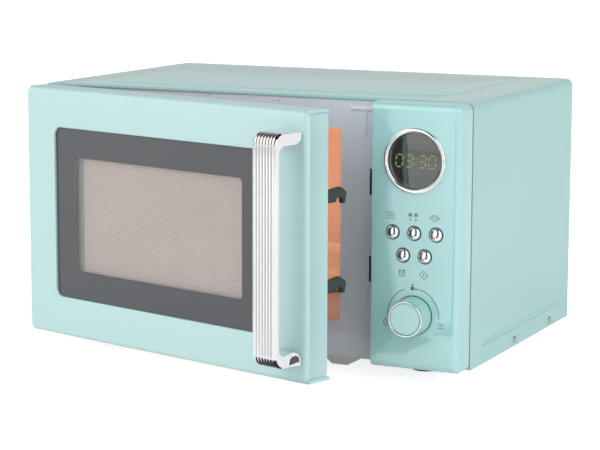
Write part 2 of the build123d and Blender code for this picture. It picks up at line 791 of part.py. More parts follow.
# ---------------------------------------------------------------- microwave source
guide_width = 34.0
guide_margin = 3.0
antenna_radius = 8.0
with BuildPart() as waveguide:
    block(liner_right, liner_right + guide_width, port_front - guide_margin, port_back + guide_margin,
          port_low - guide_margin, port_high + guide_margin)
    block(liner_right - 1, liner_right + guide_width - liner_sheet, port_front - guide_margin + 1,
          port_back + guide_margin - 1, port_low - guide_margin + 1, port_high + guide_margin - 1,
          mode=Mode.SUBTRACT)
    with BuildSketch(Plane.YZ.offset(liner_right + guide_width - 3)):
        with Locations(((port_front + port_back) / 2, (port_low + port_high) / 2)):
            Circle(antenna_radius + 0.5)
    extrude(amount=5, mode=Mode.SUBTRACT)
save(waveguide.part, "waveguide")

mica_sheet, mica_lap, mica_round = 0.8, 5.0, 4.0
with BuildPart() as waveguide_cover:
    block(cavity_right - mica_sheet, cavity_right, port_front - mica_lap, port_back + mica_lap,
          port_low - mica_lap, port_high + mica_lap)
    fillet(waveguide_cover.edges().filter_by(Axis.X), mica_round)
save(waveguide_cover.part, "waveguide_cover")

tube_left = liner_right + guide_width
tube_y, tube_z = (port_front + port_back) / 2, (port_low + port_high) / 2
yoke_length, yoke_half, yoke_wall = 72.0, 36.0, 3.0
anode_radius = 17.0
fin_count, fin_pitch, fin_sheet = 7, 6.0, 1.0
fin_start = 15.0
antenna_length = 16.0
with BuildPart() as magnetron:
    block(tube_left, tube_left + yoke_length, tube_y - yoke_half, tube_y + yoke_half,
          tube_z - yoke_half, tube_z + yoke_half)
    block(tube_left + yoke_wall, tube_left + yoke_length - yoke_wall, tube_y - yoke_half - 1,
          tube_y + yoke_half + 1, tube_z - yoke_half + yoke_wall, tube_z + yoke_half - yoke_wall,
          mode=Mode.SUBTRACT)
    with BuildSketch(Plane.YZ.offset(tube_left + 1)):
        with Locations((tube_y, tube_z)):
            Circle(anode_radius)
    extrude(amount=yoke_length - 2)
    for step in range(fin_count):
        fin_left = tube_left + fin_start + fin_pitch * step
        block(fin_left, fin_left + fin_sheet, tube_y - yoke_half + 2, tube_y + yoke_half - 2,
              tube_z - yoke_half + yoke_wall - 0.5, tube_z + yoke_half - yoke_wall + 0.5)
    with BuildSketch(Plane.YZ.offset(tube_left - antenna_length)):
        with Locations((tube_y, tube_z)):
            Circle(antenna_radius)
    extrude(amount=antenna_length + 2)
save(magnetron.part, "magnetron")

cutout_x, cutout_bottom = tube_left + yoke_length / 2, tube_z + yoke_half
cutout_radius, cutout_height = 8.0, 6.0
tab_half_width, tab_half_depth, tab_height = 6.0, 3.0, 11.0
with BuildPart() as thermal_cutout:
    with BuildSketch(Plane.XY.offset(cutout_bottom)):
        with Locations((cutout_x, tube_y)):
            Circle(cutout_radius)
    extrude(amount=cutout_height)
    block(cutout_x - tab_half_width, cutout_x + tab_half_width, tube_y - tab_half_depth,
          tube_y + tab_half_depth, cutout_bottom + cutout_height - 1,
          cutout_bottom + cutout_height - 1 + tab_height)
save(thermal_cutout.part, "thermal_cutout")

core_x, core_y = 165.0, tube_y
core_plate_half, core_plate_depth, core_plate_thick = 46.0, 36.0, 4.0
core_half, core_depth, core_height = 38.0, 24.0, 66.0
coil_half = 30.0
coil_round = 3.0
coils = ((35.0, 12.0, 34.0), (33.0, 38.0, 56.0))
with BuildPart() as transformer:
    block(core_x - core_plate_half, core_x + core_plate_half, core_y - core_plate_depth,
          core_y + core_plate_depth, pan_top, pan_top + core_plate_thick)
    block(core_x - core_half, core_x + core_half, core_y - core_depth, core_y + core_depth,
          pan_top + core_plate_thick - 1, pan_top + core_height)
    for coil_depth, coil_low, coil_high in coils:
        block(core_x - coil_half, core_x + coil_half, core_y - coil_depth, core_y + coil_depth,
              pan_top + coil_low, pan_top + coil_high)
    fillet(transformer.edges().filter_by(Axis.Z).group_by(Axis.Y)[0], coil_round)
save(transformer.part, "transformer")

can_y = tube_y + 58.0
can_width, can_depth, can_height = 52.0, 32.0, 82.0
blade_shift, blade_thick, blade_width, blade_height = 12.0, 1.0, 6.4, 10.0
with BuildPart() as capacitor:
    with BuildSketch(Plane.XY.offset(pan_top)):
        with Locations((core_x, can_y)):
            SlotOverall(can_width, can_depth)
    extrude(amount=can_height)
    with BuildSketch(Plane.XY.offset(pan_top + can_height - 2)):
        with Locations((core_x - blade_shift, can_y), (core_x + blade_shift, can_y)):
            Rectangle(blade_thick, blade_width)
    extrude(amount=blade_height + 2)
save(capacitor.part, "capacitor")

diode_radius, diode_length = 3.5, 20.0
with BuildPart() as hv_diode:
    with BuildSketch(Plane.YZ.offset(core_x - 50)):
        with Locations((can_y, pan_top + diode_radius)):
            Circle(diode_radius)
    extrude(amount=diode_length)
save(hv_diode.part, "hv_diode")

# ---------------------------------------------------------------- lamp, fan and mains side
lamp_plate, lamp_half, lamp_arm = 1.2, 18.0, 44.0
lamp_x = liner_right + lamp_arm / 2
socket_radius, socket_length = 9.0, 11.0
bulb_radius, bulb_length, bulb_round = 10.5, 18.0, 7.0
lamp_window = 26.0
with BuildPart() as oven_lamp:
    block(liner_right, liner_right + lamp_plate, lamp_y - lamp_half, lamp_y + lamp_half,
          lamp_z - lamp_half, lamp_z + lamp_half)
    block(liner_right + 1, liner_right + lamp_arm, lamp_y - lamp_half, lamp_y - lamp_half + lamp_plate,
          lamp_z - lamp_half, lamp_z + lamp_half)
    with BuildSketch(Plane.XZ.offset(-(lamp_y - lamp_half + 1))):
        with Locations((lamp_x, lamp_z)):
            Circle(socket_radius)
    extrude(amount=-(socket_length + 1))
    with BuildSketch(Plane.XZ.offset(-(lamp_y - lamp_half + socket_length + 1))):
        with Locations((lamp_x, lamp_z)):
            Circle(bulb_radius)
    extrude(amount=-bulb_length)
    fillet(oven_lamp.edges().filter_by(GeomType.CIRCLE).sort_by(Axis.Y)[-1:], bulb_round)
    with BuildSketch(Plane.YZ.offset(liner_right - 1)):
        with Locations((lamp_y, lamp_z)):
            Rectangle(lamp_window, lamp_window)
    extrude(amount=3, mode=Mode.SUBTRACT)
save(oven_lamp.part, "oven_lamp")

fan_x = liner_right + shroud_width / 2
shroud_back = rear_inner - 32.0
shroud_front = shroud_back - shroud_depth
spider_width, spider_hub, spider_sheet = 8.0, 16.0, 3.0
with BuildPart() as fan_shroud:
    with BuildSketch(facing(shroud_front)):
        rounded_box(liner_right, liner_right + shroud_width, fan_height - shroud_width / 2,
                    fan_height + shroud_width / 2, 2)
        with Locations((fan_x, fan_height)):
            Circle(fan_bore, mode=Mode.SUBTRACT)
    extrude(amount=-shroud_depth)
    with BuildSketch(facing(shroud_back)):
        with Locations((fan_x, fan_height)):
            Rectangle(2 * fan_bore + 6, spider_width)
            Rectangle(spider_width, 2 * fan_bore + 6)
            Circle(spider_hub)
            Circle(fan_shaft + 1, mode=Mode.SUBTRACT)
    extrude(amount=-spider_sheet)
save(fan_shroud.part, "fan_shroud")

motor_front = shroud_back + spider_sheet
rotor_radius, rotor_length = 15.0, 22.0
stack_start, stack_thick = 6.0, 12.0
stack_half, stack_drop = 24.0, 30.0
shaft_grip = 14.0
with BuildPart() as fan_motor:
    with BuildSketch(facing(motor_front)):
        with Locations((fan_x, fan_height)):
            Circle(rotor_radius)
    extrude(amount=-rotor_length)
    with BuildSketch(facing(motor_front + stack_start)):
        rounded_box(fan_x - stack_half, fan_x + stack_half, fan_height - stack_drop,
                    fan_height + stack_half, 2)
    extrude(amount=-stack_thick)
    with BuildSketch(facing(motor_front - 1)):
        with Locations((fan_x, fan_height)):
            Circle(fan_shaft + running_clearance)
    extrude(amount=-(shaft_grip + 3), mode=Mode.SUBTRACT)
save(fan_motor.part, "fan_motor")

blade_front = shroud_front + 6.0
blade_back = shroud_back - 3.0
hub_radius = 11.0
vane_count, vane_width, vane_sheet = 5, 17.0, 2.4
vane_root = hub_radius - 2
with BuildPart() as fan_blade:
    with BuildSketch(facing(blade_front)):
        with Locations((fan_x, fan_height)):
            Circle(hub_radius)
    extrude(amount=-(blade_back - blade_front))
    with BuildSketch(facing(blade_front + 3)):
        with Locations((fan_x, fan_height)):
            with PolarLocations((fan_radius + vane_root) / 2, vane_count):
                SlotOverall(fan_radius - vane_root, vane_width)
    extrude(amount=-vane_sheet)
    with BuildSketch(facing(motor_front + shaft_grip)):
        with Locations((fan_x, fan_height)):
            Circle(fan_shaft)
    extrude(amount=motor_front + shaft_grip - blade_front - 2)
save(fan_blade.part, "fan_blade")

board_x, board_z, board_width, board_height = 155.0, 234.5, 80.0, 25.0
board_standoff, board_thick = 4.0, 1.6
post_inset, post_radius = 4.0, 2.5
choke_spots = ((125, 235), (150, 235), (180, 236))
with BuildPart() as filter_board:
    with BuildSketch(facing(rear_inner - board_standoff)):
        rounded_box(board_x - board_width / 2, board_x + board_width / 2, board_z - board_height / 2,
                    board_z + board_height / 2, 0)
    extrude(amount=board_thick)
    with BuildSketch(facing(rear_inner - board_standoff - 1)):
        with Locations(*choke_spots):
            Rectangle(14, 16)
    extrude(amount=12)
    with BuildSketch(facing(rear_inner)):
        with Locations((board_x, board_z)):
            with GridLocations(board_width - 2 * post_inset, board_height - 2 * post_inset, 2, 2):
                Circle(post_radius)
    extrude(amount=board_standoff + 0.5)
save(filter_board.part, "filter_board")

gland_bore = 3.6
gland_flange, gland_flange_thick = 3.0, 2.5
gland_throat, gland_nut_lap, gland_nut_thick = 7.0, 2.0, 5.0
with BuildPart() as cord_gland:
    with BuildSketch(facing(rear_inner + 1)):
        with Locations((inlet_x, inlet_z)):
            Circle(inlet_radius + gland_flange)
    extrude(amount=-gland_flange_thick)
    with BuildSketch(facing(rear_inner + 1)):
        with Locations((inlet_x, inlet_z)):
            Circle(inlet_radius)
    extrude(amount=gland_throat)
    with BuildSketch(facing(rear_inner - 1)):
        with Locations((inlet_x, inlet_z)):
            Circle(inlet_radius + gland_nut_lap)
    extrude(amount=gland_nut_thick)
    with BuildSketch(facing(rear_inner + 6)):
        with Locations((inlet_x, inlet_z)):
            Circle(gland_bore)
    extrude(amount=20, mode=Mode.SUBTRACT)
save(cord_gland.part, "cord_gland")

# ---------------------------------------------------------------- turntable
motor_top = cavity_floor - liner_sheet
motor_bottom = pan_top + 10.0
motor_radius = 24.0
coupler_seat = 12.0
with BuildPart() as turntable_motor:
    with BuildSketch(Plane.XY.offset(motor_bottom)):
        with Locations((turntable_x, turntable_y)):
            Circle(motor_radius)
    extrude(amount=motor_top - motor_bottom)
    with BuildSketch(Plane.XY.offset(motor_top)):
        with Locations((turntable_x, turntable_y)):
            Circle(coupler_shaft + running_clearance)
    extrude(amount=-coupler_seat, mode=Mode.SUBTRACT)
save(turntable_motor.part, "turntable_motor")

tray_bottom = cavity_floor + 2 * roller_radius + 2 * seat_gap
with BuildPart() as drive_coupler:
    with BuildSketch(Plane.XY.offset(motor_top - coupler_seat + 1)):
        with Locations((turntable_x, turntable_y)):
            Circle(coupler_shaft)
    extrude(amount=coupler_seat - 1 + liner_sheet + 3)
    with BuildSketch(Plane.XY.offset(cavity_floor + 2)):
        with Locations((turntable_x, turntable_y)):
            Circle(coupler_radius - 4)
    extrude(amount=tray_bottom - seat_gap - cavity_floor - 4)
    with BuildSketch(Plane.XY.offset(cavity_floor + 6)):
        with Locations((turntable_x, turntable_y)):
            Circle(5)
            with PolarLocations(0, 3):
                with Locations((coupler_radius / 2, 0)):
                    Rectangle(coupler_radius, 7)
    extrude(amount=tray_bottom - seat_gap - cavity_floor - 6)
save(drive_coupler.part, "drive_coupler")

with BuildPart() as glass_tray:
    with BuildSketch(Plane.XY.offset(tray_bottom)):
        with Locations((turntable_x, turntable_y)):
            Circle(tray_radius - 7)
    with BuildSketch(Plane.XY.offset(tray_bottom + tray_thick + tray_rim)):
        with Locations((turntable_x, turntable_y)):
            Circle(tray_radius)
    loft()
    with BuildSketch(Plane.XY.offset(tray_bottom + tray_thick)):
        with Locations((turntable_x, turntable_y)):
            Circle(tray_radius - 10)
    with BuildSketch(Plane.XY.offset(tray_bottom + tray_thick + tray_rim + 0.01)):
        with Locations((turntable_x, turntable_y)):
            Circle(tray_radius - 4.5)
    loft(mode=Mode.SUBTRACT)
save(glass_tray.part, "glass_tray")

axle_height = cavity_floor + roller_radius + seat_gap
ring_low = axle_height - ring_thick / 2
ring_inner = ring_radius - ring_width
with BuildPart() as roller_ring:
    with BuildSketch(Plane.XY.offset(ring_low)):
        with Locations((turntable_x, turntable_y)):
            Circle(ring_radius)
            Circle(ring_inner, mode=Mode.SUBTRACT)
    extrude(amount=ring_thick)
    for number in range(3):
        spoke = Plane(origin=(turntable_x, turntable_y, axle_height), z_dir=(cos(2 * pi * number / 3),
                      sin(2 * pi * number / 3), 0))
        with BuildSketch(spoke.offset(ring_radius - 1)):
            Circle(axle_radius)
        extrude(amount=roller_width + 3 + 2 * part_gap)
        with BuildSketch(spoke.offset(ring_radius + 1 + roller_width + 2 * part_gap)):
            Circle(axle_radius + 0.6)
        extrude(amount=1.0)
save(roller_ring.part, "roller_ring")

for number in range(3):
    spoke = Plane(origin=(turntable_x, turntable_y, axle_height), z_dir=(cos(2 * pi * number / 3),
                  sin(2 * pi * number / 3), 0))
    with BuildPart() as roller:
        with BuildSketch(spoke.offset(ring_radius + 1 + part_gap)):
            Circle(roller_radius)
            Circle(axle_radius + running_clearance, mode=Mode.SUBTRACT)
        extrude(amount=roller_width - part_gap)
        fillet(roller.edges().filter_by(GeomType.CIRCLE).group_by(SortBy.RADIUS)[-1], 0.8)
    save(roller.part, f"roller_{number + 1}")
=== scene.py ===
"""Visual model of a table-top microwave oven whose left-hinged door stands ajar.

Metres, +Z up, -Y towards the user. What belongs to the solids is read from the frame. The properties
below hold what only the visual model has, such as flutes, perforation, printed symbols and colours.
"""
import json
import math

import bmesh
import bpy
from bpy.props import FloatProperty, FloatVectorProperty, IntProperty, PointerProperty
from bpy.types import Operator, Panel, PropertyGroup
from mathutils import Matrix, Vector


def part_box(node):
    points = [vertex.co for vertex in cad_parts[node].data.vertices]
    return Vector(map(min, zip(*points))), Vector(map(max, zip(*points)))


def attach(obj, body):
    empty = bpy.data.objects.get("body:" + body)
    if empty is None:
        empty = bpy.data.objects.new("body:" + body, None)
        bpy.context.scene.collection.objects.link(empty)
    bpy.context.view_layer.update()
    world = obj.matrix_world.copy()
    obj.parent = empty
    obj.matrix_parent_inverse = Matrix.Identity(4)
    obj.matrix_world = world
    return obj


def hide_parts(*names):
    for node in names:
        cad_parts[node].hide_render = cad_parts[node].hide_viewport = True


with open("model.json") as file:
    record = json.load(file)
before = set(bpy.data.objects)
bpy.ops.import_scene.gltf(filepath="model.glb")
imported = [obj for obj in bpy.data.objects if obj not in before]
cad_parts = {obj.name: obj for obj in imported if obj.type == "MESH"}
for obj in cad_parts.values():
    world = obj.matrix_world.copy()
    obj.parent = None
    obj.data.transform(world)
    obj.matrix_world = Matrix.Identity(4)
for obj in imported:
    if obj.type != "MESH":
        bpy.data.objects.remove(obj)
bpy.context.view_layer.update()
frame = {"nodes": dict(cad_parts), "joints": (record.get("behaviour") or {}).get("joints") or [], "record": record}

bl_info = {
    "name": "Microwave Oven",
    "version": (1, 0, 0),
    "blender": (4, 5, 0),
    "location": "3D View > Sidebar > Oven",
    "description": "Builds the visual pieces of a table-top microwave oven around its solids",
    "category": "Object",
}

MM = 0.001
HERE = Matrix.Identity(4)
STAND_UP = Matrix.Rotation(math.pi / 2, 4, "X")
CORNER_STEPS = 8
LATHE_STEPS = 96
RELIEF_HEIGHT = 0.2 * MM    # full height of a surface relief, before its strength
LINER_SHEET = 1.0 * MM      # sheet of the cooking cavity
LINER_CORNER = 4.0 * MM     # rounding of the cavity's mouth
DOOR_WALL = 1.5 * MM        # wall of the door moulding
OPENING_CORNER = 8 * MM     # corner radius of the door's opening for the glass
NOTCH_REACH = 17 * MM       # length of the door's notches for the hinge brackets, from its side
NOTCH_FRONT = 5.4 * MM      # depth behind the door's face at which the notches start
STRAP_THICK = 4.6 * MM      # thickness of the handle's strap
STRAP_BEND = 10 * MM        # outer radius of the handle's upper bend


# ------------------------------------------------------------------ properties
def length(name, millimetres, description):
    """A size property, in metres, with its default given in millimetres."""
    return FloatProperty(name=name, description=description, default=millimetres * MM,
                         min=0.0, unit="LENGTH", precision=5)


def colour(name, red, green, blue, description):
    """A colour property with a linear default."""
    return FloatVectorProperty(name=name, description=description, default=(red, green, blue),
                               subtype="COLOR", size=3, min=0.0, max=1.0)


class OvenCabinetSizes(PropertyGroup):
    """Sizes of the pressed and rounded details of the cabinet."""
    corner: length("Casing corner", 7, "Radius of the casing's two top corners")
    emboss_inset: length("Top panel inset", 38, "Distance of the raised top panel from the casing's edges")
    emboss_front: length("Top panel front", 28, "Distance of the raised top panel from the front edge")
    emboss_corner: length("Top panel corner", 34, "Corner radius of the raised top panel")
    emboss_height: length("Top panel height", 1.2, "Height of the raised top panel")
    bead_depth: length("Bead depth", 1.7, "Depth of the pressed side beads")
    bead_width: length("Bead width", 7, "Width of the pressed side beads")
    seam: length("Seam", 1.2, "Groove between the control panel and the casing")
    panel_round: length("Panel rounding", 6.5, "Rounding of the control panel's front edges")


class OvenDoorSizes(PropertyGroup):
    """Sizes of the door's visible details."""
    edge_round: length("Door rounding", 4.5, "Rounding of the door's front edges")
    corner: length("Door corner", 6.5, "Corner radius of the door's face")
    glass_lap: length("Glass overlap", 3, "How far the glass runs behind the door's face")
    film_lap: length("Film overlap", 16, "How far the inner film runs past the window")
    window_corner: length("Window corner", 4, "Corner radius of the clear window")
    hole_pitch: length("Hole pitch", 2.35, "Distance between the screen's holes")
    hole_size: length("Hole size", 1.68, "Width of one hole of the screen")
    flange: length("Door flange", 3.2, "Height of the door's top and bottom flanges")
    flute_depth: length("Flute depth", 0.65, "Depth of the grooves between the handle's ribs")
    flutes: IntProperty(name="Ribs", description="Number of ribs along the handle", default=7, min=3)


class OvenColours(PropertyGroup):
    """Base colours, linear."""
    door: colour("Door", 0.47, 0.705, 0.70, "Gloss moulding of the door")
    panel: colour("Panel", 0.40, 0.72, 0.715, "Gloss moulding of the control panel")
    casing: colour("Casing", 0.375, 0.655, 0.645, "Enamel of the casing")
    knob: colour("Knob", 0.36, 0.66, 0.62, "Gloss moulding of the dial")
    frame: colour("Front frame", 0.67, 0.71, 0.785, "Light grey enamel of the frame and cavity")
    border: colour("Glass border", 0.055, 0.06, 0.068, "Print behind the door glass")
    # The screen's colour is light grey paint with a warm tint; the tint paints the glow of the cavity lamp.
    screen: colour("Screen", 0.68, 0.61, 0.595, "Painted steel screen in the window")
    # The print colour also paints the shade ring round the dial's seat.
    ink: colour("Print", 0.10, 0.16, 0.16, "Printed symbols of the control panel")
    digits: colour("Digits", 0.27, 0.31, 0.07, "Lit segments of the display")
    lens: colour("Display", 0.030, 0.033, 0.032, "Smoked display window")
    # This colour also paints the shade in the panel's seam and round the push buttons.
    hooks: colour("Latch", 0.034, 0.044, 0.042, "Dark moulding of the door latch")
    lamp: colour("Lamp light", 1.0, 0.41, 0.21, "Light inside the cavity")


def settings():
    """The three property groups, as kept in the scene."""
    scene = bpy.context.scene
    return scene.oven_cabinet, scene.oven_door, scene.oven_colours


# ------------------------------------------------------------------ places in the frame
def node_box(node, place=HERE):
    """Lowest and highest corner of a node of the frame, in the axes of a place."""
    back = place.inverted()
    points = [back @ v.co for v in frame["nodes"][node].data.vertices]
    return Vector(map(min, zip(*points))), Vector(map(max, zip(*points)))


def door_place():
    """Axes of the ajar door: x along it from the hinge side, y behind its front face, z up."""
    hinge = next(j for j in frame["joints"] if j["name"] == "door_hinge")
    turn = Matrix.Rotation(math.radians(hinge["range_deg"][0]), 4, "Z")
    low, _ = node_box("door_frame", turn)
    return turn @ Matrix.Translation((low.x, low.y, 0.0))


def middle(node):
    """Centre of a node's box."""
    low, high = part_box(node)
    return (low + high) / 2


# ------------------------------------------------------------------ mesh helpers
class Form:
    """Points and faces gathered for one mesh, in the axes of a place."""

    def __init__(self):
        self.points = []
        self.faces = []

    def add(self, points):
        """Adds points and returns their numbers."""
        start = len(self.points)
        self.points += [Vector(p) for p in points]
        return list(range(start, len(self.points)))

    def bridge(self, first, second, closed=True):
        """Quads between two rows of points."""
        for i in range(len(first) if closed else len(first) - 1):
            j = (i + 1) % len(first)
            self.faces.append((first[i], first[j], second[j], second[i]))

    def loft(self, rows, closed=True):
        """Quads through several rows of points; returns the rows' numbers."""
        numbered = [self.add(row) for row in rows]
        for first, second in zip(numbered, numbered[1:]):
            self.bridge(first, second, closed)
        return numbered

    def cap(self, ring):
        """One flat face over a ring."""
        self.faces.append(tuple(ring))

    def prism(self, rows):
        """Quads through several rows of points, closed by a flat face at each end."""
        numbered = self.loft(rows)
        self.cap(numbered[0])
        self.cap(numbered[-1])

    def fill(self, *rings):
        """Triangles over the flat area inside the first ring and outside the others."""
        flat = bmesh.new()
        verts = {i: flat.verts.new(self.points[i]) for ring in rings for i in ring}
        edges = [flat.edges.new((verts[ring[k]], verts[ring[k - 1]]))
                 for ring in rings for k in range(len(ring))]
        bmesh.ops.triangle_fill(flat, edges=edges, use_beauty=True, use_dissolve=False)
        number = {v: i for i, v in verts.items()}
        self.faces += [tuple(number[v] for v in f.verts) for f in flat.faces]
        flat.free()


def round_rect(x0, x1, z0, z1, radii, steps=CORNER_STEPS):
    """(x, z) points round a rectangle with rounded corners, anticlockwise from the lower left."""
    if not hasattr(radii, "__len__"):
        radii = (radii,) * 4
    corners = ((x0, z0, 1, 1), (x1, z0, -1, 1), (x1, z1, -1, -1), (x0, z1, 1, -1))
    out = []
    for number, ((x, z, sx, sz), radius) in enumerate(zip(corners, radii)):
        radius = max(radius, 0.05 * MM)
        for k in range(steps + 1):
            angle = math.radians(180 + 90 * number + 90 * k / steps)
            out.append((x + sx * radius + radius * math.cos(angle),
                        z + sz * radius + radius * math.sin(angle)))
    return out


def box_outline(low, high, inset, radii, steps=CORNER_STEPS):
    """Rounded outline of a box seen from the front, moved inwards by an inset."""
    return round_rect(low.x + inset, high.x - inset, low.z + inset, high.z - inset, radii, steps)


def quarter(steps, first=0):
    """(sine, cosine) pairs of even steps through a quarter turn."""
    return [(math.sin(math.pi / 2 * k / steps), math.cos(math.pi / 2 * k / steps))
            for k in range(first, steps + 1)]


def upright(outline, y):
    """An (x, z) outline as points at depth y."""
    return [(x, y, z) for x, z in outline]


def circle(cx, cz, radius, steps=LATHE_STEPS):
    """(x, z) points round a circle, anticlockwise."""
    return [(cx + radius * math.cos(2 * math.pi * k / steps), cz + radius * math.sin(2 * math.pi * k / steps))
            for k in range(steps)]


def lathe(form, profile, cx, cz, steps=LATHE_STEPS):
    """Turns (radius, y) points about an axis along Y; a radius of 0 closes the shape there."""
    rows = []
    for radius, y in profile:
        if radius == 0:
            rows.append(form.add([(cx, y, cz)]))
        else:
            rows.append(form.add(upright(circle(cx, cz, radius, steps), y)))
    for first, second in zip(rows, rows[1:]):
        if len(first) == 1 or len(second) == 1:
            tip, ring = (first[0], second) if len(first) == 1 else (second[0], first)
            for k in range(len(ring)):
                form.faces.append((tip, ring[k], ring[k - 1]))
        else:
            form.bridge(first, second)


def link(name, mesh):
    """A new object for a mesh."""
    piece = bpy.data.objects.new(name, mesh)
    bpy.context.scene.collection.objects.link(piece)
    return piece


def plain_mesh(piece):
    """Puts the evaluated result of a piece's modifiers into its mesh, and removes them."""
    seen = piece.evaluated_get(bpy.context.evaluated_depsgraph_get())
    mesh = bpy.data.meshes.new_from_object(seen)
    piece.modifiers.clear()
    piece.data = mesh


def smooth(mesh, angle=38):
    """Smooth shading with sharp edges above an angle."""
    mesh.shade_smooth()
    mesh.set_sharp_from_angle(angle=math.radians(angle))


def add_wall(piece, thickness, offset=-1):
    """Gives a piece's open skin a thickness, inwards unless the offset says otherwise."""
    skin = piece.modifiers.new("Wall", "SOLIDIFY")
    skin.thickness = thickness
    skin.offset = offset
    plain_mesh(piece)


def build(form, name, place=HERE, wall=0.0, angle=38):
    """Makes the piece of a form: outward faces, an inner wall if asked, and shading."""
    mesh = bpy.data.meshes.new(name)
    mesh.from_pydata([tuple(p) for p in form.points], [], form.faces)
    work = bmesh.new()
    work.from_mesh(mesh)
    bmesh.ops.remove_doubles(work, verts=work.verts, dist=1e-6)
    bmesh.ops.recalc_face_normals(work, faces=work.faces)
    work.to_mesh(mesh)
    work.free()
    piece = link(name, mesh)
    if wall:
        add_wall(piece, wall)
    piece.data.transform(place)
    smooth(piece.data, angle)
    return piece


def eased_copy(node, name, bevel=0.3 * MM, segments=2):
    """A copy of a node's solid with merged faces and eased edges, which stands for the node."""
    mesh = frame["nodes"][node].data.copy()
    mesh.name = name
    mesh.materials.clear()
    work = bmesh.new()
    work.from_mesh(mesh)
    bmesh.ops.remove_doubles(work, verts=work.verts, dist=2e-6)
    bmesh.ops.dissolve_limit(work, angle_limit=math.radians(0.6), verts=work.verts, edges=work.edges)
    work.to_mesh(mesh)
    work.free()
    piece = link(name, mesh)
    edge = piece.modifiers.new("Edges", "BEVEL")
    edge.width = bevel
    edge.segments = segments
    edge.limit_method = "ANGLE"
    edge.angle_limit = math.radians(40)
    edge.use_clamp_overlap = True
    plain_mesh(piece)
    smooth(piece.data, 35)
    return piece


def settle(piece, body, slot, material, *nodes):
    """Gives a finished piece its material and body, and hides the nodes that it stands for. The slot is not used.
    """
    piece.data.materials.clear()
    piece.data.materials.append(material)
    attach(piece, body)
    if nodes:
        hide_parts(*nodes)


# ------------------------------------------------------------------ shader groups
def socket_in(tree, name, kind, default, low=None, high=None):
    """A named input of a node group."""
    made = tree.interface.new_socket(name=name, in_out="INPUT", socket_type=kind)
    made.default_value = default
    if low is not None:
        made.min_value = low
        made.max_value = high
    return made


def maths(tree, operation, first, second):
    """A Math node on two values or sockets."""
    made = tree.nodes.new("ShaderNodeMath")
    made.operation = operation
    for slot, given in zip(made.inputs, (first, second)):
        if isinstance(given, bpy.types.NodeSocket):
            tree.links.new(given, slot)
        else:
            slot.default_value = given
    return made.outputs[0]


def noise(tree, scale, detail=3.0, stretch=(1, 1, 1)):
    """A noise texture on Object coordinates, stretched if asked; scale may be a socket."""
    nodes, links = tree.nodes, tree.links
    where = nodes.new("ShaderNodeTexCoord")
    mapping = nodes.new("ShaderNodeMapping")
    mapping.inputs["Scale"].default_value = stretch
    made = nodes.new("ShaderNodeTexNoise")
    made.inputs["Detail"].default_value = detail
    links.new(where.outputs["Object"], mapping.inputs["Vector"])
    links.new(mapping.outputs["Vector"], made.inputs["Vector"])
    if isinstance(scale, bpy.types.NodeSocket):
        links.new(scale, made.inputs["Scale"])
    else:
        made.inputs["Scale"].default_value = scale
    return made.outputs["Fac"]


def spread(tree, value, low, high):
    """Maps a noise value from its middle range to low..high, which may be sockets."""
    made = tree.nodes.new("ShaderNodeMapRange")
    made.inputs["From Min"].default_value = 0.3
    made.inputs["From Max"].default_value = 0.7
    tree.links.new(value, made.inputs["Value"])
    for name, given in (("To Min", low), ("To Max", high)):
        if isinstance(given, bpy.types.NodeSocket):
            tree.links.new(given, made.inputs[name])
        else:
            made.inputs[name].default_value = given
    return made.outputs["Result"]


def effect_tree(name, *numbers):
    """A new shader group with a colour and named numbers in, and colour, roughness and normal out."""
    tree = bpy.data.node_groups.new(name, "ShaderNodeTree")
    socket_in(tree, "Color", "NodeSocketColor", (0.5, 0.5, 0.5, 1))
    for title, default, high in numbers:
        socket_in(tree, title, "NodeSocketFloat", default, 0.0, high)
    for title, kind in (("Color", "NodeSocketColor"), ("Roughness", "NodeSocketFloat"),
                        ("Normal", "NodeSocketVector")):
        tree.interface.new_socket(name=title, in_out="OUTPUT", socket_type=kind)
    return tree, tree.nodes.new("NodeGroupInput"), tree.nodes.new("NodeGroupOutput")


def link_effect(tree, given, result, value, haze, strength, height):
    """Joins up a group: colour scaled by a value, roughness by a haze, and a relief from a height."""
    nodes, links = tree.nodes, tree.links
    tone = nodes.new("ShaderNodeHueSaturation")
    links.new(given.outputs["Color"], tone.inputs["Color"])
    links.new(value, tone.inputs["Value"])
    links.new(tone.outputs["Color"], result.inputs["Color"])
    links.new(spread(tree, haze, given.outputs["Gloss Low"], given.outputs["Gloss High"]),
              result.inputs["Roughness"])
    relief = nodes.new("ShaderNodeBump")
    relief.inputs["Distance"].default_value = RELIEF_HEIGHT
    links.new(given.outputs[strength], relief.inputs["Strength"])
    links.new(height, relief.inputs["Height"])
    links.new(relief.outputs["Normal"], result.inputs["Normal"])


def skin_group():
    """Shader group for painted and moulded skins: mottled colour, uneven gloss and a fine relief."""
    tree, given, result = effect_tree("coated_skin", ("Mottle", 0.03, 1.0), ("Gloss Low", 0.2, 1.0),
                                      ("Gloss High", 0.3, 1.0), ("Relief Scale", 400.0, 9000.0),
                                      ("Relief", 0.1, 1.0))
    shade = maths(tree, "SUBTRACT", 1.0, given.outputs["Mottle"])
    grain = noise(tree, given.outputs["Relief Scale"], 1.0)
    link_effect(tree, given, result, spread(tree, noise(tree, 14.0, 2.0), shade, 1.0),
                noise(tree, 55.0, 4.0), "Relief", grain)
    return tree


def grain_group():
    """Shader group for rolled and brushed metal: long fine scratches in gloss and relief."""
    tree, given, result = effect_tree("rolled_grain", ("Gloss Low", 0.2, 1.0), ("Gloss High", 0.4, 1.0),
                                      ("Scratch", 0.15, 1.0))
    scratches = noise(tree, 60.0, 4.0, (1.0, 1.0, 30.0))
    link_effect(tree, given, result, spread(tree, noise(tree, 22.0, 3.0), 0.86, 1.0), scratches,
                "Scratch", scratches)
    return tree


def group_named(name, maker):
    """A shader group, built at its first use."""
    return bpy.data.node_groups.get(name) or maker()


def surface(name):
    """A new material and its Principled shader."""
    material = bpy.data.materials.new(name)
    material.use_nodes = True
    return material, material.node_tree.nodes["Principled BSDF"]


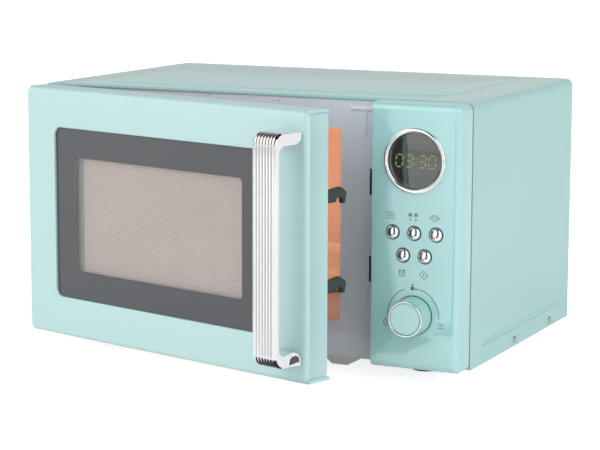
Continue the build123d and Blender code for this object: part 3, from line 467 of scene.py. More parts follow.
def grouped(name, effect, tint, numbers):
    """A new material whose colour, roughness and normal come from a shader group."""
    material, shader = surface(name)
    tree = material.node_tree
    group = tree.nodes.new("ShaderNodeGroup")
    group.node_tree = effect
    group.inputs["Color"].default_value = (*tint, 1)
    for title, number in numbers.items():
        group.inputs[title].default_value = number
    for made, taken in (("Color", "Base Color"), ("Roughness", "Roughness"), ("Normal", "Normal")):
        tree.links.new(group.outputs[made], shader.inputs[taken])
    return material, shader


def coated(name, tint, gloss=(0.2, 0.3), mottle=0.03, relief=0.08, relief_scale=900.0, coat=0.0,
           metal=0.0, ior=1.5):
    """A painted, moulded, rubber or plated finish from the skin group."""
    if name in bpy.data.materials:
        return bpy.data.materials[name]
    material, shader = grouped(name, group_named("coated_skin", skin_group), tint,
                               {"Mottle": mottle, "Gloss Low": gloss[0], "Gloss High": gloss[1],
                                "Relief": relief, "Relief Scale": relief_scale})
    shader.inputs["Metallic"].default_value = metal
    shader.inputs["IOR"].default_value = ior
    shader.inputs["Coat Weight"].default_value = coat
    shader.inputs["Coat Roughness"].default_value = 0.04
    return material


def rolled(name, tint, gloss=(0.22, 0.42), scratch=0.12):
    """A bare or plated sheet metal finish from the grain group."""
    if name in bpy.data.materials:
        return bpy.data.materials[name]
    material, shader = grouped(name, group_named("rolled_grain", grain_group), tint,
                               {"Gloss Low": gloss[0], "Gloss High": gloss[1], "Scratch": scratch})
    shader.inputs["Metallic"].default_value = 1.0
    return material


def clear_glass(name, tint, gloss=0.02):
    """Clear glass with faint smears, which lets lamps through."""
    if name in bpy.data.materials:
        return bpy.data.materials[name]
    material, shader = surface(name)
    tree = material.node_tree
    shader.inputs["Base Color"].default_value = (*tint, 1)
    shader.inputs["Transmission Weight"].default_value = 1.0
    shader.inputs["IOR"].default_value = 1.45
    tree.links.new(spread(tree, noise(tree, 30.0, 4.0), gloss, gloss + 0.03), shader.inputs["Roughness"])
    passing = tree.nodes.new("ShaderNodeBsdfTransparent")
    passing.inputs["Color"].default_value = (*tint, 1)
    light = tree.nodes.new("ShaderNodeLightPath")
    either = tree.nodes.new("ShaderNodeMixShader")
    tree.links.new(light.outputs["Is Shadow Ray"], either.inputs["Fac"])
    tree.links.new(shader.outputs["BSDF"], either.inputs[1])
    tree.links.new(passing.outputs["BSDF"], either.inputs[2])
    tree.links.new(either.outputs["Shader"], tree.nodes["Material Output"].inputs["Surface"])
    return material


def lit(name, tint, strength):
    """A softly glowing finish for the display's segments."""
    if name in bpy.data.materials:
        return bpy.data.materials[name]
    material, shader = surface(name)
    tree = material.node_tree
    shader.inputs["Base Color"].default_value = (*tint, 1)
    shader.inputs["Emission Color"].default_value = (*tint, 1)
    shader.inputs["Emission Strength"].default_value = strength
    tree.links.new(spread(tree, noise(tree, 300.0), 0.35, 0.5), shader.inputs["Roughness"])
    return material


def enamel():
    return coated("casing_enamel", settings()[2].casing, (0.18, 0.22), 0.01, 0.008, 700.0, coat=0.2)


def door_gloss():
    return coated("door_gloss", settings()[2].door, (0.33, 0.38), 0.012, 0.01, 500.0, ior=2.1)


def panel_gloss():
    return coated("panel_gloss", settings()[2].panel, (0.04, 0.07), 0.012, 0.01, 500.0, ior=2.1)


def knob_gloss():
    return coated("knob_gloss", settings()[2].knob, (0.16, 0.22), 0.015, 0.02, 500.0, coat=0.3)


def frame_enamel():
    return coated("frame_enamel", settings()[2].frame, (0.12, 0.18), 0.01, 0.01, 600.0, ior=1.6)


def chrome():
    return coated("bright_chrome", (0.93, 0.93, 0.94), (0.03, 0.07), 0.02, 0.01, 300.0, metal=1.0)


def zinc():
    return rolled("zinc_sheet", (0.62, 0.64, 0.66))


def nickel():
    return rolled("screw_nickel", (0.60, 0.60, 0.60), (0.18, 0.32), 0.06)


def painted_zinc():
    return coated("base_zinc", (0.60, 0.64, 0.65), (0.3, 0.42), 0.05, 0.05, 600.0, metal=0.3)


def strap_chrome():
    return coated("strap_chrome", (0.86, 0.86, 0.87), (0.03, 0.07), 0.02, 0.01, 300.0, metal=1.0)


# The dark latch moulding; also the painted shade in the panel's seam and behind the push buttons.
def dark_moulding_and_painted_shade():
    return coated("latch_moulding", settings()[2].hooks, (0.35, 0.48), 0.05, 0.15, 1500.0)


# Black moulding; also the painted shade in the front frame's small holes.
def black_moulding():
    return coated("black_moulding", (0.022, 0.022, 0.024), (0.38, 0.5), 0.05, 0.15, 1500.0)


def white_moulding():
    return coated("natural_moulding", (0.74, 0.74, 0.70), (0.35, 0.46), 0.03, 0.1, 1200.0)


# ------------------------------------------------------------------ geometry node trees
def tree_named(name):
    """A new geometry tree with a Material input and a Geometry output."""
    tree = bpy.data.node_groups.new(name, "GeometryNodeTree")
    tree.interface.new_socket(name="Geometry", in_out="OUTPUT", socket_type="NodeSocketGeometry")
    tree.interface.new_socket(name="Geometry", in_out="INPUT", socket_type="NodeSocketGeometry")
    tree.interface.new_socket(name="Material", in_out="INPUT", socket_type="NodeSocketMaterial")
    return tree


def close_tree(tree, given, geometry):
    """Ends a tree in Realize Instances and Set Material."""
    nodes, links = tree.nodes, tree.links
    real = nodes.new("GeometryNodeRealizeInstances")
    paint = nodes.new("GeometryNodeSetMaterial")
    out = nodes.new("NodeGroupOutput")
    links.new(geometry, real.inputs["Geometry"])
    links.new(real.outputs["Geometry"], paint.inputs["Geometry"])
    links.new(given.outputs["Material"], paint.inputs["Material"])
    links.new(paint.outputs["Geometry"], out.inputs["Geometry"])


def perforated_tree():
    """Closed sheet with six-sided holes in staggered rows, lying in XY from the origin, thickness along Z."""
    if "perforated_sheet" in bpy.data.node_groups:
        return bpy.data.node_groups["perforated_sheet"]
    tree = tree_named("perforated_sheet")
    for name, default in (("Width", 0.2), ("Height", 0.1), ("Pitch", 0.00235), ("Hole", 0.0015),
                          ("Thickness", 0.0005)):
        socket_in(tree, name, "NodeSocketFloat", default, 0.0, 1.0)
    nodes, links = tree.nodes, tree.links
    given = nodes.new("NodeGroupInput")
    pitch = given.outputs["Pitch"]
    row = maths(tree, "MULTIPLY", pitch, math.sqrt(3))
    # one six-sided cell with its hole
    cell = nodes.new("GeometryNodeMeshCircle")
    cell.fill_type = "NGON"
    cell.inputs["Vertices"].default_value = 6
    links.new(maths(tree, "DIVIDE", pitch, math.sqrt(3)), cell.inputs["Radius"])
    turned = nodes.new("GeometryNodeTransform")
    turned.inputs["Rotation"].default_value = (0, 0, math.radians(30))
    links.new(cell.outputs["Mesh"], turned.inputs["Geometry"])
    lifted = nodes.new("GeometryNodeExtrudeMesh")
    lifted.inputs["Offset Scale"].default_value = 0.0
    links.new(turned.outputs["Geometry"], lifted.inputs["Mesh"])
    shrink = nodes.new("GeometryNodeScaleElements")
    links.new(lifted.outputs["Mesh"], shrink.inputs["Geometry"])
    links.new(lifted.outputs["Top"], shrink.inputs["Selection"])
    links.new(maths(tree, "DIVIDE", given.outputs["Hole"], maths(tree, "MULTIPLY", pitch, 2 / math.sqrt(3))),
              shrink.inputs["Scale"])
    opened = nodes.new("GeometryNodeDeleteGeometry")
    opened.domain = "FACE"
    links.new(shrink.outputs["Geometry"], opened.inputs["Geometry"])
    links.new(lifted.outputs["Top"], opened.inputs["Selection"])
    # two grids of points make the staggered rows
    both = nodes.new("GeometryNodeJoinGeometry")
    for shift in (0.0, 0.5):
        grid = nodes.new("GeometryNodeMeshGrid")
        for size, count, step in (("Size X", "Vertices X", pitch), ("Size Y", "Vertices Y", row)):
            whole = given.outputs["Width" if size == "Size X" else "Height"]
            number = maths(tree, "FLOOR", maths(tree, "DIVIDE", whole, step), 0.0)
            links.new(maths(tree, "MULTIPLY", number, step), grid.inputs[size])
            links.new(maths(tree, "ADD", number, 1.0), grid.inputs[count])
        where = nodes.new("ShaderNodeCombineXYZ")
        links.new(maths(tree, "MULTIPLY", pitch, shift), where.inputs["X"])
        links.new(maths(tree, "MULTIPLY", row, shift), where.inputs["Y"])
        moved = nodes.new("GeometryNodeTransform")
        links.new(grid.outputs["Mesh"], moved.inputs["Geometry"])
        links.new(where.outputs["Vector"], moved.inputs["Translation"])
        links.new(moved.outputs["Geometry"], both.inputs["Geometry"])
    spots = nodes.new("GeometryNodeInstanceOnPoints")
    links.new(both.outputs["Geometry"], spots.inputs["Points"])
    links.new(opened.outputs["Geometry"], spots.inputs["Instance"])
    real = nodes.new("GeometryNodeRealizeInstances")
    links.new(spots.outputs["Instances"], real.inputs["Geometry"])
    joined = nodes.new("GeometryNodeMergeByDistance")
    joined.inputs["Distance"].default_value = 0.00002
    links.new(real.outputs["Geometry"], joined.inputs["Geometry"])
    # thickness: the sheet raised along Z, and its turned copy below
    raised = nodes.new("GeometryNodeExtrudeMesh")
    raised.inputs["Individual"].default_value = False
    links.new(joined.outputs["Geometry"], raised.inputs["Mesh"])
    links.new(given.outputs["Thickness"], raised.inputs["Offset Scale"])
    below = nodes.new("GeometryNodeFlipFaces")
    links.new(joined.outputs["Geometry"], below.inputs["Mesh"])
    closed = nodes.new("GeometryNodeJoinGeometry")
    links.new(below.outputs["Mesh"], closed.inputs["Geometry"])
    links.new(raised.outputs["Mesh"], closed.inputs["Geometry"])
    welded = nodes.new("GeometryNodeMergeByDistance")
    welded.inputs["Distance"].default_value = 0.00002
    links.new(closed.outputs["Geometry"], welded.inputs["Geometry"])
    close_tree(tree, given, welded.outputs["Geometry"])
    return tree


def spots_tree():
    """Copies of one shape on the points of a mesh, each turned by the point's own normal attribute."""
    if "shape_on_spots" in bpy.data.node_groups:
        return bpy.data.node_groups["shape_on_spots"]
    tree = tree_named("shape_on_spots")
    tree.interface.new_socket(name="Shape", in_out="INPUT", socket_type="NodeSocketObject")
    socket_in(tree, "Size", "NodeSocketFloat", 1.0, 0.0, 100.0)
    nodes, links = tree.nodes, tree.links
    given = nodes.new("NodeGroupInput")
    shape = nodes.new("GeometryNodeObjectInfo")
    links.new(given.outputs["Shape"], shape.inputs["Object"])
    facing = nodes.new("GeometryNodeInputNamedAttribute")
    facing.data_type = "FLOAT_VECTOR"
    facing.inputs["Name"].default_value = "facing"
    turn = nodes.new("FunctionNodeAlignRotationToVector")
    turn.axis = "Z"
    links.new(facing.outputs["Attribute"], turn.inputs["Vector"])
    spots = nodes.new("GeometryNodeInstanceOnPoints")
    links.new(given.outputs["Geometry"], spots.inputs["Points"])
    links.new(shape.outputs["Geometry"], spots.inputs["Instance"])
    links.new(turn.outputs["Rotation"], spots.inputs["Rotation"])
    links.new(given.outputs["Size"], spots.inputs["Scale"])
    close_tree(tree, given, spots.outputs["Instances"])
    return tree


def grown(name, tree, base, values):
    """A piece made by a geometry tree on a base mesh, turned into a plain mesh."""
    piece = link(name, base)
    grower = piece.modifiers.new("Tree", "NODES")
    grower.node_group = tree
    for item in tree.interface.items_tree:
        if item.item_type == "SOCKET" and item.in_out == "INPUT" and item.name in values:
            grower[item.identifier] = values[item.name]
    plain_mesh(piece)
    return piece


def spots_mesh(spots):
    """A mesh of single points with a facing direction each."""
    mesh = bpy.data.meshes.new("spots")
    mesh.from_pydata([tuple(at) for at, _ in spots], [], [])
    facing = mesh.attributes.new("facing", "FLOAT_VECTOR", "POINT")
    facing.data.foreach_set("vector", [x for _, way in spots for x in way])
    return mesh


# ------------------------------------------------------------------ cabinet
def capsule(x0, x1, z0, z1):
    """Outline of a slot with nearly round ends."""
    return round_rect(x0, x1, z0, z1, min(x1 - x0, z1 - z0) * 0.49)


def pressed(form, ring_at, outline, depths):
    """Steps a pressed or raised outline away from a face; depths are (inset, depth) pairs."""
    rows = []
    for inset, depth in depths:
        rows.append(form.add([ring_at(p, depth) for p in shrunk_outline(outline, inset)]))
    for first, second in zip(rows, rows[1:]):
        form.bridge(first, second)
    form.fill(rows[-1])
    return rows[0]


def shrunk_outline(outline, inset):
    """An anticlockwise outline moved inwards by an inset, point by point."""
    out = []
    count = len(outline)
    for k in range(count):
        before, here, after = (Vector(outline[i % count]) for i in (k - 1, k, k + 1))
        first, second = (here - before), (after - here)
        if first.length < 1e-9:
            first = here - Vector(outline[k - 2])
        if second.length < 1e-9:
            second = Vector(outline[(k + 2) % count]) - here
        way = (first.normalized() + second.normalized()).normalized()
        out.append(tuple(here + Vector((-way.y, way.x)) * inset))
    return out


def step_depths(height, width, steps=6):
    """(inset, depth) pairs of a smooth step."""
    return [(width * k / steps, height * (0.5 - 0.5 * math.cos(math.pi * k / steps)))
            for k in range(steps + 1)]


class OVEN_OT_casing(Operator):
    """Wrap-round casing with rounded top corners, a raised top panel and pressed side beads"""
    bl_idname = "oven.casing"
    bl_label = "Outer casing"

    def execute(self, context):
        sizes = settings()[0]
        low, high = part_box("outer_casing")
        radius = sizes.corner
        form = Form()

        def corner(side, y):
            """Points of one rounded corner, from the side to the top."""
            x = high.x if side > 0 else low.x
            return [(x - side * radius * (1 - cosine), y, high.z - radius * (1 - sine))
                    for sine, cosine in quarter(CORNER_STEPS)]

        edges = {}
        for side in (-1, 1):
            front, back = form.loft([corner(side, low.y), corner(side, high.y)], closed=False)
            edges[side] = front, back
        # top: flat margin, then the raised panel
        left, right = edges[-1], edges[1]
        inset = sizes.emboss_inset
        outline = round_rect(low.x + inset, high.x - inset, low.y + sizes.emboss_front, high.y - inset,
                             sizes.emboss_corner)
        ring = pressed(form, lambda p, d: (p[0], p[1], high.z + d), outline,
                       step_depths(sizes.emboss_height, 3.0 * MM))
        form.fill([left[0][-1], right[0][-1], right[1][-1], left[1][-1]], ring)
        # sides, each with its pressed bead along the bottom
        bead_low = low.z + 15.0 * MM
        for side in (-1, 1):
            x = high.x if side > 0 else low.x
            feet = form.add([(x, low.y, low.z), (x, high.y, low.z)])
            outline = capsule(low.y + 31 * MM, low.y + 245 * MM, bead_low, bead_low + sizes.bead_width)
            ring = pressed(form, lambda p, d: (x - side * d, p[0], p[1]), outline,
                           step_depths(sizes.bead_depth, sizes.bead_width * 0.42))
            front, back = edges[side]
            form.fill([feet[0], feet[1], back[0], front[0]], ring)
        piece = build(form, "outer_casing_skin", wall=0.75 * MM, angle=30)
        settle(piece, "cabinet", "mint_enamel", enamel(), "outer_casing")

        # hem round the front edge; its section is (inset, depth) in millimetres
        hem = Form()
        foot = low.z + 14 * MM
        section = ((0.05, 1.4), (0.05, 0.5), (0.35, 0.1), (0.9, 0.0), (1.9, 0.0), (2.45, 0.15), (2.7, 0.6),
                   (2.7, 1.4))
        rows = []
        for inset, depth in section:
            inset, y = inset * MM, low.y + depth * MM
            row = [(low.x + inset, y, foot)]
            row += [(p[0] + inset * (1 - k / CORNER_STEPS), y, p[2] - inset * k / CORNER_STEPS)
                    for k, p in enumerate(corner(-1, y))]
            row += [(p[0] - inset * (1 - k / CORNER_STEPS), y, p[2] - inset * k / CORNER_STEPS)
                    for k, p in reversed(list(enumerate(corner(1, y))))]
            row.append((high.x - inset, y, foot))
            rows.append(row)
        numbered = hem.loft(rows, closed=False)
        hem.bridge(numbered[-1], numbered[0], closed=False)
        hem.cap([row[0] for row in numbered])
        hem.cap([row[-1] for row in numbered])
        settle(build(hem, "outer_casing_hem", angle=50), "cabinet", "mint_enamel", enamel())
        return {"FINISHED"}


def ridge(form, points, width, height, y):
    """A half-round ridge along (x, z) points on the face at depth y, with round ends."""
    half = width / 2
    path = [Vector(p) for p in points]
    first_way = (path[1] - path[0]).normalized()
    last_way = (path[-1] - path[-2]).normalized()
    shares = [sine for sine, _ in quarter(4)]
    stations = [(path[0] + first_way * half * (1 - share), first_way, share) for share in shares]
    stations += [(path[-1] - last_way * half * (1 - share), last_way, share) for share in reversed(shares)]
    rows = []
    for at, way, share in stations:
        share = max(share, 0.02)
        across = Vector((-way.y, way.x))
        row = []
        for k in range(9):
            angle = math.pi * k / 8
            spot = at + across * (half * share * math.cos(angle))
            row.append((spot.x, y - height * share * math.sin(angle), spot.y))
        rows.append(row)
    form.prism(rows)


class OVEN_OT_front_frame(Operator):
    """Light grey frame round the cavity mouth, with its slots, pressed ridges, and black discs that paint the
    shade inside its small holes
    """
    bl_idname = "oven.front_frame"
    bl_label = "Front frame"

    def execute(self, context):
        low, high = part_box("front_frame")
        cavity_low, cavity_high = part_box("cavity_liner")
        form = Form()
        outer = form.add(upright(round_rect(low.x, high.x, low.z, high.z, 6.2 * MM), low.y))
        mouth = box_outline(cavity_low, cavity_high, LINER_SHEET, LINER_CORNER)
        holes = [form.add(upright(mouth, low.y))]
        slots = [o["box_m"] for o in frame["record"]["physics"]["openings"] if "latch_slot" in o["name"]]
        for (x0, _, z0), (x1, _, z1) in slots:
            holes.append(form.add(upright(round_rect(x0 - 0.4 * MM, x1 + 0.4 * MM, z0 - 0.5 * MM,
                                                     z1 + 0.5 * MM, 1 * MM), low.y)))
        mid = middle("hinge_pins").x
        for name in ("hinge_upper", "hinge_lower"):
            z0, z1 = bracket_levels(name)
            holes.append(form.add(upright(round_rect(mid - 5.1 * MM, mid + 5.1 * MM, z0 - 0.1 * MM,
                                                     z1 + 0.1 * MM, 0.1 * MM), low.y)))
        form.fill(outer, *holes)
        piece = build(form, "front_frame_sheet", angle=30)
        add_wall(piece, high.y - low.y, 1 if piece.data.polygons[0].normal.y > 0 else -1)
        smooth(piece.data, 30)
        settle(piece, "cabinet", "grey_enamel", frame_enamel(), "front_frame")

        panel_low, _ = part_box("control_panel")
        beads = Form()
        level, upright_x = high.z - 9.5 * MM, panel_low.x - 19.5 * MM
        ridge(beads, [(panel_low.x - 33.5 * MM, level), (high.x - 24 * MM, level)], 4.2 * MM, 1.0 * MM,
              low.y + 0.05 * MM)
        ridge(beads, [(upright_x, high.z - 11 * MM), (upright_x, high.z - 33 * MM)], 3.6 * MM, 1.0 * MM,
              low.y + 0.05 * MM)
        settle(build(beads, "front_frame_beads", angle=60), "cabinet", "grey_enamel", frame_enamel())

        # Painted shade: black discs stand for the dark insides of the frame's small holes.
        hole_shades = Form()
        for x, z in ((-41.1 * MM, 246.7 * MM), (31 * MM, 244.2 * MM)):
            for shift, size in ((0.0, 0.75), (-4.0, 0.45), (-7.0, 0.4)):
                lathe(hole_shades, [(0, low.y - 0.12 * MM), (size * MM * 0.6, low.y - 0.12 * MM),
                                (size * MM, low.y + 0.05 * MM), (0, low.y + 0.05 * MM)],
                      x + shift * MM, z, 16)
        piece = build(hole_shades, "front_frame_dimples", angle=60)
        settle(piece, "cabinet", "black_plastic", black_moulding())
        return {"FINISHED"}


def bracket_levels(name):
    """Lowest and highest level of the arm of a hinge bracket, which the pins pass through."""
    pivot_y = middle("hinge_pins").y
    levels = [v.co.z for v in frame["nodes"][name].data.vertices if v.co.y < pivot_y]
    return min(levels), max(levels)


class OVEN_OT_cavity(Operator):
    """Enamelled cooking cavity with rounded corners and a rounded edge round its back"""
    bl_idname = "oven.cavity"
    bl_label = "Cooking cavity"

    def execute(self, context):
        low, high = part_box("cavity_liner")
        form = Form()
        back_round = 8 * MM
        round_start = high.y - LINER_SHEET - back_round
        rows = [upright(box_outline(low, high, LINER_SHEET, LINER_CORNER), y) for y in (low.y, round_start)]
        for sine, cosine in quarter(6, 1):
            inset = back_round * (1 - cosine)
            rows.append(upright(box_outline(low, high, LINER_SHEET + inset,
                                            max(LINER_CORNER - inset, 0.3 * MM)),
                                round_start + back_round * sine))
        numbered = form.loft(rows)
        form.fill(numbered[-1])
        piece = build(form, "cavity_liner_shell", angle=30)
        add_wall(piece, 0.9 * LINER_SHEET, 1)
        smooth(piece.data, 30)
        material = coated("cavity_enamel", (0.62, 0.60, 0.60), (0.3, 0.42), 0.05, 0.1, 900.0)
        settle(piece, "cabinet", "grey_enamel", material, "cavity_liner")
        return {"FINISHED"}


class OVEN_OT_base(Operator):
    """Base pan, feet, rear sheet and cord gland, with eased edges"""
    bl_idname = "oven.base"
    bl_label = "Base and back"

    def execute(self, context):
        rubber = coated("foot_rubber", (0.035, 0.035, 0.038), (0.55, 0.75), 0.1, 0.3, 1800.0)
        zinced = painted_zinc()
        pieces = (("base_pan", zinced, "zinc_steel", 0.4), ("feet", rubber, "foot_rubber", 0.8),
                  ("rear_panel", zinced, "zinc_steel", 0.15),
                  ("cord_gland", black_moulding(), "black_plastic", 0.5))
        for node, material, slot, bevel in pieces:
            settle(eased_copy(node, node + "_eased", bevel * MM), "cabinet", slot, material, node)
        return {"FINISHED"}


def hood_shape():
    """One louvre hood over a slot: a quarter-round scoop, open on one side, standing along Z."""
    form = Form()
    rows = []
    for share, lift in ((-1, 0.03), (-0.94, 0.6), (-0.8, 0.92), (0, 1), (0.8, 0.92), (0.94, 0.6), (1, 0.03)):
        row = [(2.6 * MM - 5.2 * MM * (1 - math.cos(math.pi / 2 * k / 6)), share * 14.6 * MM,
                1.5 * MM * lift * math.sin(math.pi / 2 * k / 6)) for k in range(7)]
        rows.append(row)
    form.loft(rows, closed=False)
    piece = build(form, "hood_shape", wall=0.35 * MM, angle=50)
    bpy.context.scene.collection.objects.unlink(piece)
    return piece


class OVEN_OT_louvres(Operator):
    """Louvre hoods over the rear vent slots"""
    bl_idname = "oven.louvres"
    bl_label = "Rear louvres"

    def execute(self, context):
        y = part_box("rear_panel")[1].y
        fields = ((middle("glass_tray").x, 190 * MM, 14 * MM, 34 * MM, 12),
                  (middle("fan_shroud").x, middle("fan_shroud").z, 11 * MM, 38 * MM, 9))
        spots = []
        for x, z, across, up, count in fields:
            for k in range(count):
                for row in (-0.5, 0.5):
                    spots.append((Vector((x + (k - (count - 1) / 2) * across, y, z + row * up)), (0, 1, 0)))
        shape = hood_shape()
        material = painted_zinc()
        piece = grown("rear_louvres", spots_tree(), spots_mesh(spots),
                      {"Shape": shape, "Material": material, "Size": 1.0})
        smooth(piece.data, 50)
        bpy.data.objects.remove(shape)
        settle(piece, "cabinet", "zinc_steel", material)
        return {"FINISHED"}


def screw_shape():
    """Pan-head screw with a cross recess, along Z, of radius 1."""
    form = Form()
    steps = 48
    rows = []
    for radius, z in ((1.0, -0.1), (1.0, 0.12), (0.93, 0.3), (0.78, 0.42), (0.56, 0.48)):
        rows.append([(x, y, z) for x, y in circle(0, 0, radius, steps)])
    cross = []
    for k in range(steps):
        angle = 2 * math.pi * k / steps
        reach = 0.5 if k % 12 < 2 or k % 12 > 10 else 0.2
        cross.append((reach * math.cos(angle), reach * math.sin(angle), 0.48))
    rows.append(cross)
    rows.append([(x * 0.55, y * 0.55, 0.12) for x, y, _ in cross])
    form.prism(rows)
    piece = build(form, "screw_shape", angle=35)
    bpy.context.scene.collection.objects.unlink(piece)
    return piece


class OVEN_OT_screws(Operator):
    """Cross-recessed screws of the casing and the back"""
    bl_idname = "oven.screws"
    bl_label = "Casing screws"

    def execute(self, context):
        mesh = frame["nodes"]["casing_screws"].data
        casing_low, casing_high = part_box("outer_casing")
        work = bmesh.new()
        work.from_mesh(mesh)
        bmesh.ops.remove_doubles(work, verts=work.verts, dist=2e-6)
        spots = []
        left = set(work.verts)
        while left:
            island, front = set(), [next(iter(left))]
            while front:
                v = front.pop()
                if v in island:
                    continue
                island.add(v)
                front += [e.other_vert(v) for e in v.link_edges]
            left -= island
            low = Vector(map(min, zip(*(v.co for v in island))))
            high = Vector(map(max, zip(*(v.co for v in island))))
            centre = (low + high) / 2
            if high.x > casing_high.x:
                spots.append((Vector((casing_high.x, centre.y, centre.z)), (1, 0, 0)))
            elif low.x < casing_low.x:
                spots.append((Vector((casing_low.x, centre.y, centre.z)), (-1, 0, 0)))
            else:
                spots.append((Vector((centre.x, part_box("rear_panel")[1].y, centre.z)), (0, 1, 0)))
        work.free()
        shape = screw_shape()
        material = nickel()
        piece = grown("casing_screw_heads", spots_tree(), spots_mesh(spots),
                      {"Shape": shape, "Material": material, "Size": 3.6 * MM})
        smooth(piece.data, 35)
        bpy.data.objects.remove(shape)
        settle(piece, "cabinet", "screw_steel", material, "casing_screws")
        return {"FINISHED"}


# ------------------------------------------------------------------ control panel
def button_nodes():
    """The names of the push buttons' nodes."""
    return sorted(n for n in frame["nodes"] if n.startswith("button_"))


class OVEN_OT_control_panel(Operator):
    """Gloss control panel moulding with its openings and rounded edges"""
    bl_idname = "oven.control_panel"
    bl_label = "Control panel"

    def execute(self, context):
        sizes = settings()[0]
        low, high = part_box("control_panel")
        left_round, top_round = 2.5 * MM, sizes.corner
        radii = (left_round, left_round, top_round, left_round)
        form = Form()
        seam = sizes.seam
        behind_seam = box_outline(low, high, seam, [r - seam for r in radii])
        rows = [upright(behind_seam, high.y), upright(behind_seam, high.y - 2.2 * MM),
                upright(box_outline(low, high, 0.15 * MM, radii), high.y - 2.4 * MM),
                upright(box_outline(low, high, 0, radii), high.y - 2.8 * MM)]
        # front edge: the left side has a smaller rounding than the other three
        for sine, cosine in quarter(8):
            right_in = sizes.panel_round * (1 - cosine)
            left_in = left_round * (1 - cosine)
            eased = round_rect(low.x + left_in, high.x - right_in, low.z + right_in, high.z - right_in,
                               [max(r - right_in, 0.6 * MM) for r in radii])
            rows.append(upright(eased, low.y + sizes.panel_round * (1 - sine)))
        numbered = form.loft(rows)
        bezel_low, bezel_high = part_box("display_bezel")
        lens = middle("display_lens")
        holes = [form.add(upright(circle(lens.x, lens.z, (bezel_high.x - bezel_low.x) / 2 - 2.5 * MM),
                                  low.y))]
        bore = 6.7 * MM
        for node in button_nodes():
            at = middle(node)
            rim = form.add(upright(circle(at.x, at.z, bore + 0.45 * MM, 48), low.y))
            eased = form.add(upright(circle(at.x, at.z, bore, 48), low.y + 0.4 * MM))
            form.bridge(rim, eased)
            wall = form.add(upright(circle(at.x, at.z, bore, 48), low.y + 1.9 * MM))
            form.bridge(eased, wall)
            holes.append(rim)
        knob = middle("knob_body")
        shaft = form.add(upright(circle(knob.x, knob.z, 4 * MM, 48), low.y))
        holes.append(shaft)
        form.fill(numbered[-1], *holes)
        piece = build(form, "control_panel_moulding", wall=1.6 * MM, angle=32)
        settle(piece, "cabinet", "mint_plastic", panel_gloss(), "control_panel")
        # Painted shade: a dark ring on the floor of the seam groove makes the seam between panel and casing read
        # as a dark line.
        shade = Form()
        inset = seam - 0.15 * MM
        ring = box_outline(low, high, inset, [r - inset for r in radii])
        shade.loft([upright(ring, high.y - 2.2 * MM), upright(ring, high.y + 0.1 * MM)])
        settle(build(shade, "panel_seam_gasket", wall=0.1 * MM), "cabinet", "black_plastic",
               dark_moulding_and_painted_shade())
        return {"FINISHED"}


class OVEN_OT_display(Operator):
    """Chrome bezel, smoked lens and lit segments of the round display"""
    bl_idname = "oven.display"
    bl_label = "Display"

    def execute(self, context):
        colours = settings()[2]
        low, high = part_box("display_bezel")
        cx, cz = (low.x + high.x) / 2, (low.z + high.z) / 2
        outer = (high.x - low.x) / 2
        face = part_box("control_panel")[0].y
        inner = outer - 4.2 * MM
        proud = face - low.y
        form = Form()
        profile = [(outer - 0.4 * MM, face + 0.3 * MM), (outer, face - 0.5 * MM)]
        profile += [(outer - 1.9 * MM * (1 - cosine), face - proud * (0.35 + 0.65 * sine))
                    for sine, cosine in quarter(8)]
        profile += [(inner + 2.3 * MM * (1 - sine), face - proud * (0.3 + 0.7 * cosine))
                    for sine, cosine in quarter(8, 1)]
        profile += [(inner, face + 1.5 * MM), (outer - 0.4 * MM, face + 1.5 * MM),
                    (outer - 0.4 * MM, face + 0.3 * MM)]
        lathe(form, profile, cx, cz)
        settle(build(form, "display_bezel_ring", angle=50), "cabinet", "chrome_trim", chrome(),
               "display_bezel")

        smoked = coated("smoked_lens", colours.lens, (0.03, 0.06), 0.02, 0.0, 300.0, ior=2.1)
        form = Form()
        lens_face = face + 0.9 * MM
        lathe(form, [(0, lens_face), (inner - 1.2 * MM, lens_face), (inner - 0.3 * MM, lens_face + 0.3 * MM),
                     (inner - 0.1 * MM, lens_face + 1.0 * MM), (inner - 0.1 * MM, lens_face + 2.2 * MM),
                     (0, lens_face + 2.2 * MM)], cx, cz)
        settle(build(form, "display_window", angle=30), "cabinet", "display_lens", smoked, "display_lens")

        digits = Form()
        seven_segments(digits, "03:30", cx - 18.6 * MM, cz - 5.8 * MM, 10.6 * MM, lens_face - 0.02 * MM)
        piece = build(digits, "display_digits", wall=0.04 * MM, angle=30)
        settle(piece, "cabinet", "display_lens", lit("segment_glow", colours.digits, 0.08))
        settle(eased_copy("display_module", "display_module_block", 0.4 * MM), "cabinet", "black_plastic",
               black_moulding(), "display_module")
        return {"FINISHED"}


SEGMENTS = {"0": "abcdef", "3": "abgcd"}


def seven_segments(form, text, x, z, height, y):
    """Slanted seven-segment digits, each segment a flat bar with pointed ends."""
    half = height / 2
    width = height * 0.58
    bar = height * 0.115
    slant = 0.10
    places = {"a": (0, height, 1, 0), "g": (0, half, 1, 0), "d": (0, 0, 1, 0),
              "f": (0, half, 0, 1), "e": (0, 0, 0, 1), "b": (width, half, 0, 1), "c": (width, 0, 0, 1)}
    for char in text:
        if char == ":":
            for level in (0.30, 0.70):
                form.fill(form.add([(x + px + level * height * slant, y, z + level * height + pz)
                                    for px, pz in circle(0, 0, bar * 0.55, 12)]))
            x += height * 0.28
            continue
        for segment in SEGMENTS[char]:
            sx, sz, along, up = places[segment]
            run = width if along else half
            gap = bar * 0.62
            shape = [(gap, 0), (gap + bar / 2, bar / 2), (run - gap - bar / 2, bar / 2), (run - gap, 0),
                     (run - gap - bar / 2, -bar / 2), (gap + bar / 2, -bar / 2)]
            points = []
            for a, b in shape:
                px, pz = (a, b) if along else (b, a)
                points.append((x + sx + px + (sz + pz) * slant, y, z + sz + pz))
            form.fill(form.add(points))
        x += width + height * 0.30


